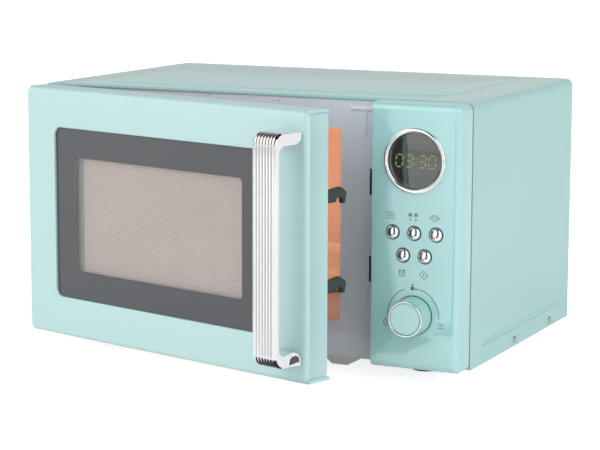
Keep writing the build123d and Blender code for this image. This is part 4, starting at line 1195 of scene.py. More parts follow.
class OVEN_OT_push_buttons(Operator):
    """Domed chrome push buttons"""
    bl_idname = "oven.push_buttons"
    bl_label = "Push buttons"

    def execute(self, context):
        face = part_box("control_panel")[0].y
        for node in button_nodes():
            low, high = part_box(node)
            at = (low + high) / 2
            radius = 5.8 * MM
            form = Form()
            dome = face + 0.4 * MM - low.y
            rear = face + 2.0 * MM
            profile = [(0, low.y)]
            profile += [(radius * sine, low.y + dome * (1 - cosine)) for sine, cosine in quarter(12, 1)]
            profile += [(radius, rear), (0, rear)]
            lathe(form, profile, at.x, at.z, 64)
            body = node.replace("button_", "") + "_button"
            settle(build(form, node + "_dome", angle=40), body, "chrome_trim", chrome(), node)
            # Painted shade: the foot behind each dome takes the dark finish, so the gap round the dome reads as a
            # dark ring.
            form = Form()
            foot = radius + 2.2 * MM
            lathe(form, [(0, rear), (foot, rear), (foot, high.y), (0, high.y)], at.x, at.z, 64)
            settle(build(form, node + "_foot", angle=40), body, "chrome_trim", dark_moulding_and_painted_shade())
        return {"FINISHED"}


class OVEN_OT_dial(Operator):
    """Tapered dial with its chrome ring and inset cap"""
    bl_idname = "oven.dial"
    bl_label = "Dial"

    def execute(self, context):
        low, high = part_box("knob_body")
        ring_low, ring_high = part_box("knob_ring")
        cap_low, cap_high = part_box("knob_cap")
        cx, cz = (low.x + high.x) / 2, (low.z + high.z) / 2
        base = (high.x - low.x) / 2
        front = (ring_high.x - ring_low.x) / 2
        form = Form()
        profile = [(base - 2.6 * MM, high.y), (base - 0.5 * MM, high.y), (base, high.y - 0.5 * MM),
                   (base - 0.05 * MM, high.y - 1.6 * MM), (front + 0.15 * MM, ring_high.y + 0.5 * MM),
                   (front - 0.3 * MM, ring_high.y + 0.05 * MM), (front - 1.6 * MM, ring_high.y + 0.05 * MM),
                   (front - 1.6 * MM, cap_high.y + 0.02 * MM), (0, cap_high.y + 0.02 * MM)]
        lathe(form, profile, cx, cz)
        inside = [(base - 2.6 * MM, high.y), (base - 2.6 * MM, high.y - 8 * MM), (6 * MM, high.y - 8 * MM),
                  (6 * MM, high.y), (3.05 * MM, high.y), (3.05 * MM, high.y - 11 * MM), (0, high.y - 11 * MM)]
        lathe(form, inside, cx, cz)
        settle(build(form, "dial_body", angle=32), "knob", "mint_plastic", knob_gloss(), "knob_body")

        form = Form()
        wide = front + 0.15 * MM
        profile = [(front - 1.5 * MM, ring_high.y - 0.05 * MM), (wide, ring_high.y - 0.05 * MM)]
        profile += [(wide - 0.9 * MM * (1 - cosine), ring_low.y + 0.9 * MM * (1 - sine))
                    for sine, cosine in quarter(8)]
        profile += [(front - 1.3 * MM, ring_low.y + 0.3 * MM), (front - 1.5 * MM, ring_low.y + 0.7 * MM),
                    (front - 1.5 * MM, ring_high.y - 0.05 * MM)]
        lathe(form, profile, cx, cz)
        settle(build(form, "dial_ring", angle=40), "knob", "chrome_trim", chrome(), "knob_ring")

        form = Form()
        lathe(form, [(0, cap_low.y), (front - 2.5 * MM, cap_low.y),
                     (front - 2.05 * MM, cap_low.y + 0.35 * MM), (front - 2.0 * MM, cap_high.y),
                     (0, cap_high.y)], cx, cz)
        gloss = coated("cap_gloss", settings()[2].panel, (0.12, 0.2), 0.015, 0.02, 500.0, ior=2.1)
        settle(build(form, "dial_cap", angle=30), "knob", "mint_plastic", gloss, "knob_cap")
        return {"FINISHED"}


def stroke(form, points, width, y, closed=False):
    """A flat line of even width through (x, z) points at depth y."""
    path = [Vector(p) for p in points]
    count = len(path)
    left, right = [], []
    for k in range(count):
        if closed:
            before, after = path[k - 1], path[(k + 1) % count]
        else:
            before, after = path[max(k - 1, 0)], path[min(k + 1, count - 1)]
        way = (after - before).normalized()
        across = Vector((-way.y, way.x)) * width / 2
        left.append(path[k] + across)
        right.append(path[k] - across)
    rows = [form.add([(p.x, y, p.y) for p in side]) for side in (left, right)]
    form.bridge(rows[0], rows[1], closed)


def disc(form, x, z, radius, y):
    """A flat printed disc."""
    form.fill(form.add(upright(circle(x, z, radius, 20), y)))


def arc_points(cx, cz, radius, start, end, steps=24):
    """(x, z) points along an arc, angles in degrees from +X."""
    return [(cx + radius * math.cos(math.radians(start + (end - start) * k / steps)),
             cz + radius * math.sin(math.radians(start + (end - start) * k / steps)))
            for k in range(steps + 1)]


class OVEN_OT_symbols(Operator):
    """Printed symbols of the control panel: generic cooking signs and the dial's arc, and a ring of painted shade
    round the dial's seat
    """
    bl_idname = "oven.symbols"
    bl_label = "Printed symbols"

    def execute(self, context):
        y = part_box("control_panel")[0].y - 0.03 * MM
        thin = 0.68 * MM
        form = Form()
        upper = middle("button_power").z + 14.7 * MM
        lower = middle("button_stop").z - 16.2 * MM

        # power: three short waves
        x = middle("button_power").x - 2.1 * MM
        for row in (-1, 0, 1):
            level = upper + row * 2.4 * MM
            wave = [(x + (k / 24 - 0.5) * 8.4 * MM, level + 0.7 * MM * math.sin(k / 24 * 4 * math.pi))
                    for k in range(25)]
            stroke(form, wave, 0.5 * MM, y)
        # defrost: two flakes, each over a drop
        x = middle("button_defrost").x - 1.1 * MM
        for side in (-1, 1):
            at = x + side * 2.7 * MM
            for k in range(3):
                angle = math.pi * k / 3 + math.pi / 6
                dx, dz = 2.4 * MM * math.cos(angle), 2.4 * MM * math.sin(angle)
                stroke(form, [(at - dx, upper + 1.6 * MM - dz), (at + dx, upper + 1.6 * MM + dz)],
                       0.6 * MM, y)
            disc(form, at, upper + 1.6 * MM, 0.9 * MM, y)
            disc(form, at, upper - 2.9 * MM, 0.75 * MM, y)
            stroke(form, [(at, upper - 2.9 * MM), (at, upper - 1.6 * MM)], 0.6 * MM, y)
        # clock set: a dial between two pointers
        x = middle("button_clock").x - 1.4 * MM
        stroke(form, circle(x, upper, 2.5 * MM, 28), thin, y, closed=True)
        stroke(form, [(x, upper + 1.4 * MM), (x, upper), (x + 1.1 * MM, upper)], thin, y)
        for side in (-1, 1):
            stroke(form, [(x + side * 3.2 * MM, upper + 1.3 * MM), (x + side * 4.4 * MM, upper),
                          (x + side * 3.2 * MM, upper - 1.3 * MM)], thin, y)
        # stop: an alarm clock
        x = middle("button_stop").x - 0.9 * MM
        stroke(form, circle(x, lower, 2.5 * MM, 28), thin, y, closed=True)
        stroke(form, [(x - 1.1 * MM, lower + 0.5 * MM), (x, lower - 0.6 * MM),
                      (x + 1.3 * MM, lower + 0.9 * MM)], thin, y)
        for side in (-1, 1):
            stroke(form, [(x + side * 1.6 * MM, lower + 3.2 * MM), (x + side * 3.0 * MM, lower + 2.0 * MM)],
                   thin * 1.3, y)
        # start: a diamond
        x = middle("button_start").x - 0.8 * MM
        reach = 3.9 * MM
        stroke(form, [(x - reach, lower), (x, lower - reach), (x + reach, lower), (x, lower + reach)],
               thin, y, closed=True)
        stroke(form, [(x, lower - 1.5 * MM), (x, lower + 1.5 * MM)], thin, y)
        # painted shade: a dark ring round the dial's seat, where the gap under the dial lies in shade
        knob = middle("knob_body")
        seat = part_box("knob_body")[1].x - knob.x
        stroke(form, circle(knob.x, knob.z, seat + 0.2 * MM, 72), 1.0 * MM, y, closed=True)
        # arc round the dial, with a weight, a clock and a list sign
        radius = 24.3 * MM
        stroke(form, arc_points(knob.x, knob.z, radius, 182, 109), thin, y)
        stroke(form, arc_points(knob.x, knob.z, radius, 79, -4), thin, y)
        x, z = knob.x - 0.9 * MM, knob.z + 22.6 * MM
        form.fill(form.add(upright([(x - 1.9 * MM, z), (x + 1.9 * MM, z), (x + 1.4 * MM, z + 3.4 * MM),
                                    (x - 1.4 * MM, z + 3.4 * MM)], y)))
        disc(form, x, z + 4.6 * MM, 0.9 * MM, y)
        disc(form, x + 3.4 * MM, z + 1.0 * MM, 0.9 * MM, y)
        x, z = knob.x - 25 * MM, knob.z - 8.1 * MM
        stroke(form, circle(x, z, 3.1 * MM, 28), thin, y, closed=True)
        stroke(form, [(x, z + 1.7 * MM), (x, z), (x + 1.2 * MM, z - 0.7 * MM)], thin * 1.3, y)
        x, z = knob.x + 25.5 * MM, knob.z - 7.2 * MM
        for row in (-1, 0, 1):
            disc(form, x - 3.0 * MM, z + row * 1.9 * MM, 0.45 * MM, y)
            stroke(form, [(x - 1.8 * MM, z + row * 1.9 * MM), (x + 3.2 * MM, z + row * 1.9 * MM)], thin, y)
        piece = build(form, "panel_symbols", wall=0.02 * MM, angle=30)
        # The ink also paints the shade ring round the dial's seat.
        ink = coated("panel_ink", settings()[2].ink, (0.4, 0.5), 0.1, 0.1, 2000.0)
        settle(piece, "cabinet", "mint_plastic", ink)
        return {"FINISHED"}


# ------------------------------------------------------------------ door
class OVEN_OT_door_shell(Operator):
    """Gloss door moulding: rounded front, recessed glass opening, top and bottom flanges"""
    bl_idname = "oven.door_shell"
    bl_label = "Door moulding"

    def execute(self, context):
        sizes = settings()[1]
        place = door_place()
        low, high = node_box("door_frame", place)
        glass_low, glass_high = node_box("door_glass", place)
        depth = node_box("choke_cover", place)[1].y
        lap = sizes.glass_lap
        opening = (glass_low.x + lap, glass_high.x - lap, glass_low.z + lap, glass_high.z - lap)
        side_in = 0.5 * MM
        form = Form()
        behind_edge = round_rect(low.x, high.x - side_in, low.z + side_in, high.z - side_in,
                                 sizes.corner - side_in)
        rows = [upright(behind_edge, depth), upright(behind_edge, sizes.edge_round + 0.8 * MM)]
        for sine, cosine in quarter(8):
            inset = sizes.edge_round * (1 - cosine)
            rows.append(upright(box_outline(low, high, inset, sizes.corner - inset),
                                sizes.edge_round * (1 - sine)))
        outer = form.loft(rows)[-1]
        x0, x1, z0, z1 = opening
        lip = 0.7 * MM
        inner_rows = []
        for sine, cosine in quarter(4):
            grow = lip * (1 - sine)
            eased = round_rect(x0 - grow, x1 + grow, z0 - grow, z1 + grow, OPENING_CORNER + grow)
            inner_rows.append(upright(eased, lip * (1 - cosine)))
        inner_rows.append(upright(round_rect(x0, x1, z0, z1, OPENING_CORNER), glass_low.y))
        inner = form.loft(inner_rows)
        form.fill(outer, inner[0])
        piece = build(form, "door_moulding", place, angle=32)
        add_wall(piece, DOOR_WALL)
        notches = Form()
        for node in ("hinge_lower", "hinge_upper"):
            bracket_low, bracket_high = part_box(node)
            outline = round_rect(low.x - 2 * MM, low.x + NOTCH_REACH, bracket_low.z - 0.6 * MM,
                                 bracket_high.z + 0.6 * MM, 0.2 * MM, 2)
            notches.prism([upright(outline, NOTCH_FRONT), upright(outline, depth + 3 * MM)])
        cutter = build(notches, "hinge_notches", place)
        cut = piece.modifiers.new("Notches", "BOOLEAN")
        cut.operation = "DIFFERENCE"
        cut.solver = "EXACT"
        cut.object = cutter
        plain_mesh(piece)
        bpy.data.objects.remove(cutter)
        smooth(piece.data, 32)
        settle(piece, "door", "mint_plastic", door_gloss(), "door_frame")

        flanges = Form()
        back = high.y
        front = sizes.edge_round + 0.2 * MM
        thick = sizes.flange
        for z0, z1, reach in ((low.z, low.z + thick, back), (high.z - thick * 0.8, high.z, depth)):
            outline = round_rect(low.x + 1.0 * MM, high.x, z0, z1, 0.5 * MM, 3)
            flanges.prism([upright(outline, front), upright(outline, depth)])
            if reach > depth:
                tip = round_rect(high.x - 26 * MM, high.x, z0, z1 - 0.8 * MM, 0.4 * MM, 3)
                flanges.prism([upright(tip, depth - 1 * MM), upright(tip, reach)])
        settle(build(flanges, "door_flanges", place, angle=35), "door", "mint_plastic", door_gloss())
        return {"FINISHED"}


def frame_ring(form, outer, inner, front, back):
    """A flat closed ring between two outlines of equal point counts."""
    rows = [upright(outer, front), upright(outer, back), upright(inner, back), upright(inner, front)]
    numbered = form.loft(rows)
    form.bridge(numbered[-1], numbered[0])


class OVEN_OT_door_glass(Operator):
    """Front glass with its dark printed border, and the clear film behind the screen"""
    bl_idname = "oven.door_glass"
    bl_label = "Door glass"

    def execute(self, context):
        sizes, colours = settings()[1], settings()[2]
        place = door_place()
        low, high = node_box("door_glass", place)
        film_low, film_high = node_box("inner_film", place)
        lap = sizes.film_lap
        window = (film_low.x + lap, film_high.x - lap, film_low.z + lap, film_high.z - lap)
        ease = 0.2 * MM
        form = Form()
        outer = box_outline(low, high, ease, 11 * MM)
        inner = round_rect(*window, sizes.window_corner)
        frame_ring(form, outer, inner, low.y + 0.05 * MM, low.y + 0.55 * MM)
        border = coated("glass_border", colours.border, (0.05, 0.09), 0.04, 0.0, 300.0, coat=0.5)
        settle(build(form, "door_glass_border", place, angle=30), "door", "dark_glass", border, "door_glass")

        form = Form()
        inner = round_rect(window[0] + 0.02 * MM, window[1] - 0.02 * MM, window[2] + 0.02 * MM,
                           window[3] - 0.02 * MM, sizes.window_corner)
        form.prism([upright(inner, low.y + 0.06 * MM), upright(inner, low.y + 0.5 * MM)])
        settle(build(form, "door_window_pane", place, angle=30), "door", "dark_glass",
               clear_glass("window_glass", (0.86, 0.87, 0.86)))

        form = Form()
        sheet = box_outline(film_low, film_high, 0, 4 * MM)
        form.prism([upright(sheet, film_low.y), upright(sheet, film_high.y)])
        settle(build(form, "inner_film_sheet", place, angle=30), "door", "clear_film",
               clear_glass("clear_film", (0.95, 0.96, 0.96), 0.06), "inner_film")
        return {"FINISHED"}


class OVEN_OT_door_screen(Operator):
    """Perforated steel screen behind the door glass"""
    bl_idname = "oven.door_screen"
    bl_label = "Perforated screen"

    def execute(self, context):
        sizes, colours = settings()[1], settings()[2]
        place = door_place()
        low, high = node_box("door_screen", place)
        film_low, film_high = node_box("inner_film", place)
        lap = sizes.film_lap
        x0, x1 = film_low.x + lap + 6.0 * MM, film_high.x - lap + 1.0 * MM
        z0, z1 = film_low.z + lap - 0.5 * MM, film_high.z - lap + 0.5 * MM
        # Light grey paint with a warm tint that paints the glow of the cavity lamp.
        paint = coated("screen_paint", colours.screen, (0.35, 0.45), 0.03, 0.05, 900.0)
        margin = 1.2 * MM
        sheet = grown("door_screen_mesh", perforated_tree(), bpy.data.meshes.new("seed"),
                      {"Width": x1 - x0 + margin, "Height": z1 - z0 + margin, "Pitch": sizes.hole_pitch,
                       "Hole": sizes.hole_size, "Thickness": 0.4 * MM, "Material": paint})
        centre = Matrix.Translation(((x0 + x1) / 2, low.y + 0.9 * MM, (z0 + z1) / 2))
        sheet.data.transform(place @ centre @ STAND_UP)
        settle(sheet, "door", "grey_enamel", paint, "door_screen")

        form = Form()
        outer = box_outline(low, high, 0, 3 * MM)
        inner = round_rect(x0, x1, z0, z1, 2 * MM)
        frame_ring(form, outer, inner, low.y, low.y + 0.5 * MM)
        wall = box_outline(low, high, 0.8 * MM, 2.2 * MM)
        frame_ring(form, outer, wall, low.y + 0.5 * MM, high.y)
        pan = coated("screen_pan", (0.30, 0.335, 0.335), (0.3, 0.4), 0.05, 0.05, 900.0)
        settle(build(form, "door_screen_pan", place, angle=30), "door", "grey_enamel", pan)
        return {"FINISHED"}


def path_arc(cn, cz, radius, start, end, steps):
    """Points of an arc in the handle's side view, angles in degrees from the outward direction."""
    return [(cn + radius * math.cos(math.radians(start + (end - start) * k / steps)),
             cz + radius * math.sin(math.radians(start + (end - start) * k / steps)))
            for k in range(steps + 1)]


class OVEN_OT_handle(Operator):
    """Chrome strap handle with ribs that run round both bends"""
    bl_idname = "oven.handle"
    bl_label = "Handle"

    def execute(self, context):
        sizes = settings()[1]
        place = door_place()
        low, high = node_box("handle", place)
        reach, top, bottom = -low.y, high.z, low.z
        bend = STRAP_BEND
        outer = [(0.2 * MM, top)]
        outer += path_arc(reach - bend, top - bend, bend, 90, 0, 12)
        outer += [(reach, top - bend - (top - bottom - 24 * MM) * k / 8) for k in range(1, 8)]
        outer += path_arc(reach - 13 * MM, bottom + 14.5 * MM, 13 * MM, 0, -78, 12)
        outer += [(0.2 * MM, bottom)]
        bore = reach - STRAP_THICK
        inner = [(0.2 * MM, top - 2.2 * MM), (2.0 * MM, top - 6.5 * MM), (5 * MM, top - 9.6 * MM),
                 (9 * MM, top - 10.9 * MM)]
        inner += path_arc(bore - 8 * MM, top - 19 * MM, 8 * MM, 90, 0, 8)
        inner += [(bore, bottom + 26 * MM)]
        inner += path_arc(bore - 7.5 * MM, bottom + 20 * MM, 7.5 * MM, 0, -75, 8)
        inner += [(n * MM, bottom + z * MM) for n, z in
                  ((17, 13.6), (12, 14.4), (7.5, 13.6), (4, 11), (1.5, 7.5), (0.2, 5.5))]
        across = sizes.flutes * 8
        width = high.x - low.x
        edge, fall = 1.5 * MM, 1.25 * MM
        form = Form()
        rows = []
        count = len(outer)
        for k, (n, z) in enumerate(outer):
            before, after = Vector(outer[max(k - 1, 0)]), Vector(outer[min(k + 1, count - 1)])
            way = (after - before).normalized()
            normal = Vector((-way.y, way.x))
            row = []
            for j in range(across + 1):
                share = j / across
                within = abs(2 * ((share * sizes.flutes) % 1.0) - 1) if 0 < j < across else 1.0
                drop = sizes.flute_depth * within ** 3
                row.append((low.x + edge + (width - 2 * edge) * share, -(n - normal.x * drop),
                            z - normal.y * drop))
            row.insert(0, (low.x, -(n - normal.x * fall), z - normal.y * fall))
            row.append((high.x, -(n - normal.x * fall), z - normal.y * fall))
            rows.append(row)
        numbered = form.loft(rows, closed=False)
        sides = [form.add([(x, -n, z) for n, z in inner]) for x in (low.x, high.x)]
        form.bridge(sides[0], sides[1], closed=False)
        left = [row[0] for row in numbered]
        right = [row[-1] for row in numbered]
        form.fill(left + sides[0][::-1])
        form.fill(right + sides[1][::-1])
        form.cap(numbered[0] + [sides[1][0], sides[0][0]])
        form.cap(numbered[-1] + [sides[1][-1], sides[0][-1]])
        piece = build(form, "handle_strap", place, angle=42)
        settle(piece, "door", "chrome_trim", strap_chrome(), "handle")

        # painted shade: a dark inset on the free side of the lower leg stands for the shade inside its recess
        outline = [(n * MM, bottom + z * MM) for n, z in
                   ((3.3, 5.2), (16.8, 4.0), (15.6, 9), (12.5, 11), (8, 11.2), (4.2, 9.4))]
        recess = Form()
        recess.prism([[(high.x + lift, -n, z) for n, z in outline] for lift in (0.02 * MM, -0.6 * MM)])
        inset = coated("recess_shade", (0.09, 0.09, 0.10), (0.3, 0.4), 0.1, 0.05, 900.0, metal=0.5)
        settle(build(recess, "handle_recess", place, angle=30), "door", "chrome_trim", inset)
        settle(eased_copy("handle_screws", "handle_screws_eased", 0.3 * MM), "door", "screw_steel",
               nickel(), "handle_screws")
        return {"FINISHED"}


class OVEN_OT_latch(Operator):
    """Latch lever with its two hooks, its spring, and the door's inner cover"""
    bl_idname = "oven.latch"
    bl_label = "Latch and inner cover"

    def execute(self, context):
        settle(eased_copy("latch_lever", "latch_hooks", 0.7 * MM, 3), "latch", "latch_plastic",
               dark_moulding_and_painted_shade(), "latch_lever")
        cover = coated("cover_moulding", (0.07, 0.085, 0.085), (0.3, 0.42), 0.05, 0.12, 1400.0)
        settle(eased_copy("choke_cover", "choke_cover_eased", 0.4 * MM), "door", "latch_plastic", cover,
               "choke_cover")
        low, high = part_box("latch_spring")
        form = Form()
        coil(form, (low + high) / 2, (high.x - low.x) / 2 - 0.35 * MM, low.z, high.z, 9, 0.35 * MM)
        settle(build(form, "latch_spring_coil", angle=60), "door", "spring_steel",
               rolled("spring_wire", (0.5, 0.5, 0.5), (0.2, 0.35), 0.05), "latch_spring")
        return {"FINISHED"}


def coil(form, centre, radius, bottom, top, turns, wire):
    """A helical wire about a vertical axis."""
    steps = turns * 16
    rows = []
    for k in range(steps + 1):
        angle = 2 * math.pi * k / 16
        spot = Vector((centre.x + radius * math.cos(angle), centre.y + radius * math.sin(angle),
                       bottom + wire + (top - bottom - 2 * wire) * k / steps))
        outward = Vector((math.cos(angle), math.sin(angle), 0))
        rows.append([spot + outward * wire * math.cos(a) + Vector((0, 0, wire * math.sin(a)))
                     for a in [math.pi * j / 4 for j in range(8)]])
    form.prism(rows)


class OVEN_OT_hinges(Operator):
    """Hinge brackets and pins with eased edges"""
    bl_idname = "oven.hinges"
    bl_label = "Hinges"

    def execute(self, context):
        for node in ("hinge_upper", "hinge_lower", "hinge_pins"):
            settle(eased_copy(node, node + "_eased", 0.3 * MM), "cabinet", "zinc_steel", zinc(), node)
        return {"FINISHED"}


# ------------------------------------------------------------------ inside
class OVEN_OT_turntable(Operator):
    """Glass tray with its ribs, roller ring, rollers and drive coupler"""
    bl_idname = "oven.turntable"
    bl_label = "Turntable"

    def execute(self, context):
        low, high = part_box("glass_tray")
        at = (low + high) / 2
        radius = (high.x - low.x) / 2
        form = Form()
        top = high.z - low.z
        profile = [(0, 0), (radius - 10 * MM, 0), (radius - 7 * MM, 0.6 * MM),
                   (radius - 0.8 * MM, top - 2 * MM), (radius, top - 0.8 * MM), (radius - 1.2 * MM, top),
                   (radius - 4 * MM, top - 1.2 * MM), (radius - 9.5 * MM, 5.4 * MM),
                   (radius - 14 * MM, 5 * MM)]
        for k in range(3):
            rib = radius * (0.72 - 0.2 * k)
            profile += [(rib + 1.5 * MM, 5 * MM), (rib, 4.4 * MM), (rib - 1.5 * MM, 5 * MM)]
        profile.append((0, 5 * MM))
        lathe(form, profile, 0, 0)
        stand = Matrix.Translation((at.x, at.y, low.z)) @ STAND_UP
        piece = build(form, "glass_tray_disc", stand, angle=35)
        settle(piece, "tray", "tray_glass", clear_glass("tray_glass", (0.90, 0.95, 0.94)), "glass_tray")
        white = white_moulding()
        pieces = [("roller_ring", "ring"), ("drive_coupler", "coupler")]
        pieces += [(f"roller_{k}", f"wheel_{k}") for k in (1, 2, 3)]
        for node, body in pieces:
            settle(eased_copy(node, node + "_eased", 0.3 * MM), body, "white_plastic", white, node)
        return {"FINISHED"}


# Each row: the finish's function, what it is given, and the nodes that take it.
INNER_FINISHES = (
    (white_moulding, (), ("interlock_bracket", "fan_shroud", "fan_blade", "switch_plunger_1",
                          "switch_plunger_2", "switch_plunger_3")),
    (black_moulding, (), ("interlock_switches", "encoder_body")),
    (zinc, (), ("waveguide", "encoder_shaft")),
    (rolled, ("motor_can", (0.5, 0.51, 0.52), (0.25, 0.4), 0.15),
     ("turntable_motor", "fan_motor", "thermal_cutout")),
    (rolled, ("bright_aluminium", (0.75, 0.76, 0.77), (0.15, 0.3), 0.1), ("magnetron", "capacitor")),
    (coated, ("varnished_core", (0.10, 0.075, 0.06), (0.3, 0.5), 0.2, 0.4, 300.0), ("transformer",)),
    (coated, ("solder_mask", (0.03, 0.16, 0.06), (0.25, 0.35), 0.15, 0.2, 500.0),
     ("control_board", "filter_board")),
    (coated, ("pressed_mica", (0.52, 0.46, 0.34), (0.3, 0.5), 0.15, 0.3, 400.0), ("waveguide_cover",)),
    (coated, ("lamp_ceramic", (0.82, 0.78, 0.70), (0.2, 0.3), 0.05, 0.1, 400.0), ("oven_lamp",)),
    (coated, ("moulded_diode", (0.03, 0.03, 0.03), (0.3, 0.4), 0.05, 0.1, 900.0), ("hv_diode",)),
)


class OVEN_OT_machinery(Operator):
    """Finishes of the pieces inside the cabinet, which keep their solids' shapes"""
    bl_idname = "oven.machinery"
    bl_label = "Machinery"

    def execute(self, context):
        for finish, given, nodes in INNER_FINISHES:
            for node in nodes:
                mesh = frame["nodes"][node].data
                mesh.materials.clear()
                mesh.materials.append(finish(*given))
        return {"FINISHED"}


# ------------------------------------------------------------------ stage
def area_light(name, at, target, size, power, tint=(1, 1, 1)):
    """A soft rectangular light aimed at a point."""
    data = bpy.data.lights.new(name, "AREA")
    data.shape = "RECTANGLE"
    data.size, data.size_y = size
    data.energy = power
    data.color = tint
    lamp = bpy.data.objects.new(name, data)
    bpy.context.scene.collection.objects.link(lamp)
    lamp.location = at
    lamp.visible_glossy = False
    lamp.rotation_mode = "QUATERNION"
    lamp.rotation_quaternion = (Vector(target) - Vector(at)).to_track_quat("-Z", "Y")


# Stops of (share of a turn, brightness) round the horizon, and of (share, brightness) from below to above.
WORLD_ROUND = ((0.0, 1.1), (0.12, 1.1), (0.16, 1.3), (0.25, 1.3), (0.266, 0.03), (0.325, 0.03),
               (0.345, 1.2), (0.385, 1.7), (0.455, 1.7), (0.49, 0.8), (0.62, 0.68), (0.72, 0.62),
               (0.80, 0.72), (0.90, 0.6), (0.925, 0.05), (0.955, 0.05), (0.975, 1.1))
WORLD_RISE = ((0.0, 0.5), (0.5, 0.85), (0.6, 1.0), (0.88, 1.0), (0.925, 0.04), (1.0, 0.04))


def value_ramp(tree, value, stops):
    """A ramp of grey levels over a value."""
    made = tree.nodes.new("ShaderNodeValToRGB")
    ramp = made.color_ramp
    while len(ramp.elements) < len(stops):
        ramp.elements.new(0.5)
    for element, (position, level) in zip(ramp.elements, stops):
        element.position = position
        element.color = (level, level, level, 1)
    tree.links.new(value, made.inputs["Fac"])
    return made.outputs["Color"]


def studio_world():
    """Pale surroundings with dark upright bands and a dark patch overhead, which chrome picks up."""
    world = bpy.data.worlds.new("studio")
    bpy.context.scene.world = world
    world.use_nodes = True
    tree = world.node_tree
    nodes, links = tree.nodes, tree.links
    shine = nodes["Background"]
    where = nodes.new("ShaderNodeTexCoord")
    parts = nodes.new("ShaderNodeSeparateXYZ")
    links.new(where.outputs["Generated"], parts.inputs["Vector"])
    rise = nodes.new("ShaderNodeMapRange")
    rise.inputs["From Min"].default_value = -1.0
    links.new(parts.outputs["Z"], rise.inputs["Value"])
    around = nodes.new("ShaderNodeTexGradient")
    around.gradient_type = "RADIAL"
    links.new(where.outputs["Generated"], around.inputs["Vector"])
    both = nodes.new("ShaderNodeMix")
    both.data_type = "RGBA"
    both.blend_type = "MULTIPLY"
    both.inputs["Factor"].default_value = 1.0
    links.new(value_ramp(tree, around.outputs["Fac"], WORLD_ROUND), both.inputs["A"])
    links.new(value_ramp(tree, rise.outputs["Result"], WORLD_RISE), both.inputs["B"])
    links.new(both.outputs["Result"], shine.inputs["Color"])
    shine.inputs["Strength"].default_value = 1.0


def floor_finish():
    """Pale floor which reads as white paper and keeps a light shadow."""
    material = coated("pale_floor", (0.90, 0.90, 0.90), (0.6, 0.7), 0.01, 0.0)
    shader = material.node_tree.nodes["Principled BSDF"]
    shader.inputs["Emission Color"].default_value = (1, 1, 1, 1)
    seen = material.node_tree.nodes.new("ShaderNodeLightPath")
    tree = material.node_tree
    direct = maths(tree, "MULTIPLY", seen.outputs["Is Camera Ray"], 0.75)
    mirrored = maths(tree, "MULTIPLY", seen.outputs["Is Glossy Ray"], 0.30)
    tree.links.new(maths(tree, "ADD", direct, mirrored), shader.inputs["Emission Strength"])
    return material


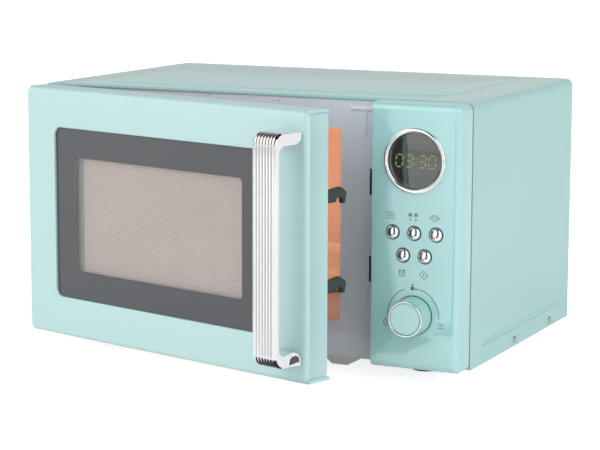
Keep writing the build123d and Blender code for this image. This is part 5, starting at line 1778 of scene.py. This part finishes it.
class OVEN_OT_stage(Operator):
    """Camera, pale floor, soft lights and the lamp inside the cavity"""
    bl_idname = "oven.stage"
    bl_label = "Stage"

    def execute(self, context):
        scene = context.scene
        scene.view_settings.view_transform = "Standard"
        data = bpy.data.cameras.new("camera")
        data.sensor_width = 36.0
        data.lens = 122.79
        camera = bpy.data.objects.new("camera", data)
        scene.collection.objects.link(camera)
        camera.matrix_world = (Matrix.Translation((0.8484, -1.7249, 0.4232))
                               @ Matrix.Rotation(math.radians(25.537), 4, "Z")
                               @ Matrix.Rotation(math.radians(90 - 8.986), 4, "X")
                               @ Matrix.Rotation(math.radians(0.188), 4, "Z"))
        scene.camera = camera

        floor_mesh = bpy.data.meshes.new("floor")
        reach = 40.0
        floor_mesh.from_pydata([(-reach, -reach, 0), (reach, -reach, 0), (reach, reach, 0),
                                (-reach, reach, 0)], [], [(0, 1, 2, 3)])
        floor = link("floor", floor_mesh)
        floor.data.materials.append(floor_finish())

        studio_world()
        foot_low, foot_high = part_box("handle")
        # two dark cards on the floor that only mirrored rays meet: one below the handle, and a band that
        # widens towards the viewer
        left, right, front = foot_low.x - 30 * MM, foot_high.x + 20 * MM, foot_low.y - 45 * MM
        near = [(x, y, 0.3 * MM) for x, y in
                ((left, front), (right, front), (right, foot_high.y), (left, foot_high.y))]
        band = [(x, y, 0.4 * MM) for x, y in ((0.12, -0.30), (0.50, -3.2), (1.70, -3.2), (0.26, -0.30))]
        card_mesh = bpy.data.meshes.new("dark_card")
        card_mesh.from_pydata(near + band, [], [(0, 1, 2, 3), (4, 5, 6, 7)])
        card = link("dark_card", card_mesh)
        card.data.materials.append(black_moulding())
        card.visible_camera = False
        card.visible_diffuse = False
        card.visible_shadow = False
        card.visible_transmission = False

        area_light("left_softbox", (-1.7, -1.5, 1.0), (0, 0, 0.15), (1.6, 1.4), 7)
        area_light("front_softbox", (-0.9, -1.3, 2.0), (0, 0, 0.1), (2.4, 1.8), 12)
        area_light("right_fill", (2.0, -0.1, 0.9), (0, 0.1, 0.12), (1.2, 1.2), 6.5)
        area_light("panel_fill", (0.75, -1.6, 0.5), (0.15, 0, 0.1), (0.8, 0.8), 3)

        low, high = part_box("cavity_liner")
        centre = (low + high) / 2
        area_light("cavity_lamp", (centre.x, low.y + 40 * MM, high.z - 14 * MM),
                   (centre.x - 20 * MM, high.y, centre.z), (0.12, 0.02), 0.44, tuple(settings()[2].lamp))
        return {"FINISHED"}


# ------------------------------------------------------------------ sidebar and registration
STEPS = (OVEN_OT_casing, OVEN_OT_front_frame, OVEN_OT_cavity, OVEN_OT_base, OVEN_OT_louvres,
         OVEN_OT_screws, OVEN_OT_control_panel, OVEN_OT_display, OVEN_OT_push_buttons, OVEN_OT_dial,
         OVEN_OT_symbols, OVEN_OT_door_shell, OVEN_OT_door_glass, OVEN_OT_door_screen, OVEN_OT_handle,
         OVEN_OT_latch, OVEN_OT_hinges, OVEN_OT_turntable, OVEN_OT_machinery, OVEN_OT_stage)


class OVEN_PT_sidebar(Panel):
    """Lists the steps that build the oven"""
    bl_label = "Microwave oven"
    bl_idname = "OVEN_PT_sidebar"
    bl_space_type = "VIEW_3D"
    bl_region_type = "UI"
    bl_category = "Oven"

    def draw(self, context):
        for group in settings():
            box = self.layout.box()
            for name in group.__annotations__:
                box.prop(group, name)
        for step in STEPS:
            self.layout.operator(step.bl_idname)


GROUPS = (("oven_cabinet", OvenCabinetSizes), ("oven_door", OvenDoorSizes), ("oven_colours", OvenColours))


def register():
    for name, group in GROUPS:
        bpy.utils.register_class(group)
        setattr(bpy.types.Scene, name, PointerProperty(type=group))
    for step in (*STEPS, OVEN_PT_sidebar):
        bpy.utils.register_class(step)


def unregister():
    for step in reversed((*STEPS, OVEN_PT_sidebar)):
        bpy.utils.unregister_class(step)
    for name, group in reversed(GROUPS):
        delattr(bpy.types.Scene, name)
        bpy.utils.unregister_class(group)


def main():
    """Builds the whole oven."""
    register()
    for step in STEPS:
        family, name = step.bl_idname.split(".")
        getattr(getattr(bpy.ops, family), name)()


if __name__ == "__main__":
    main()
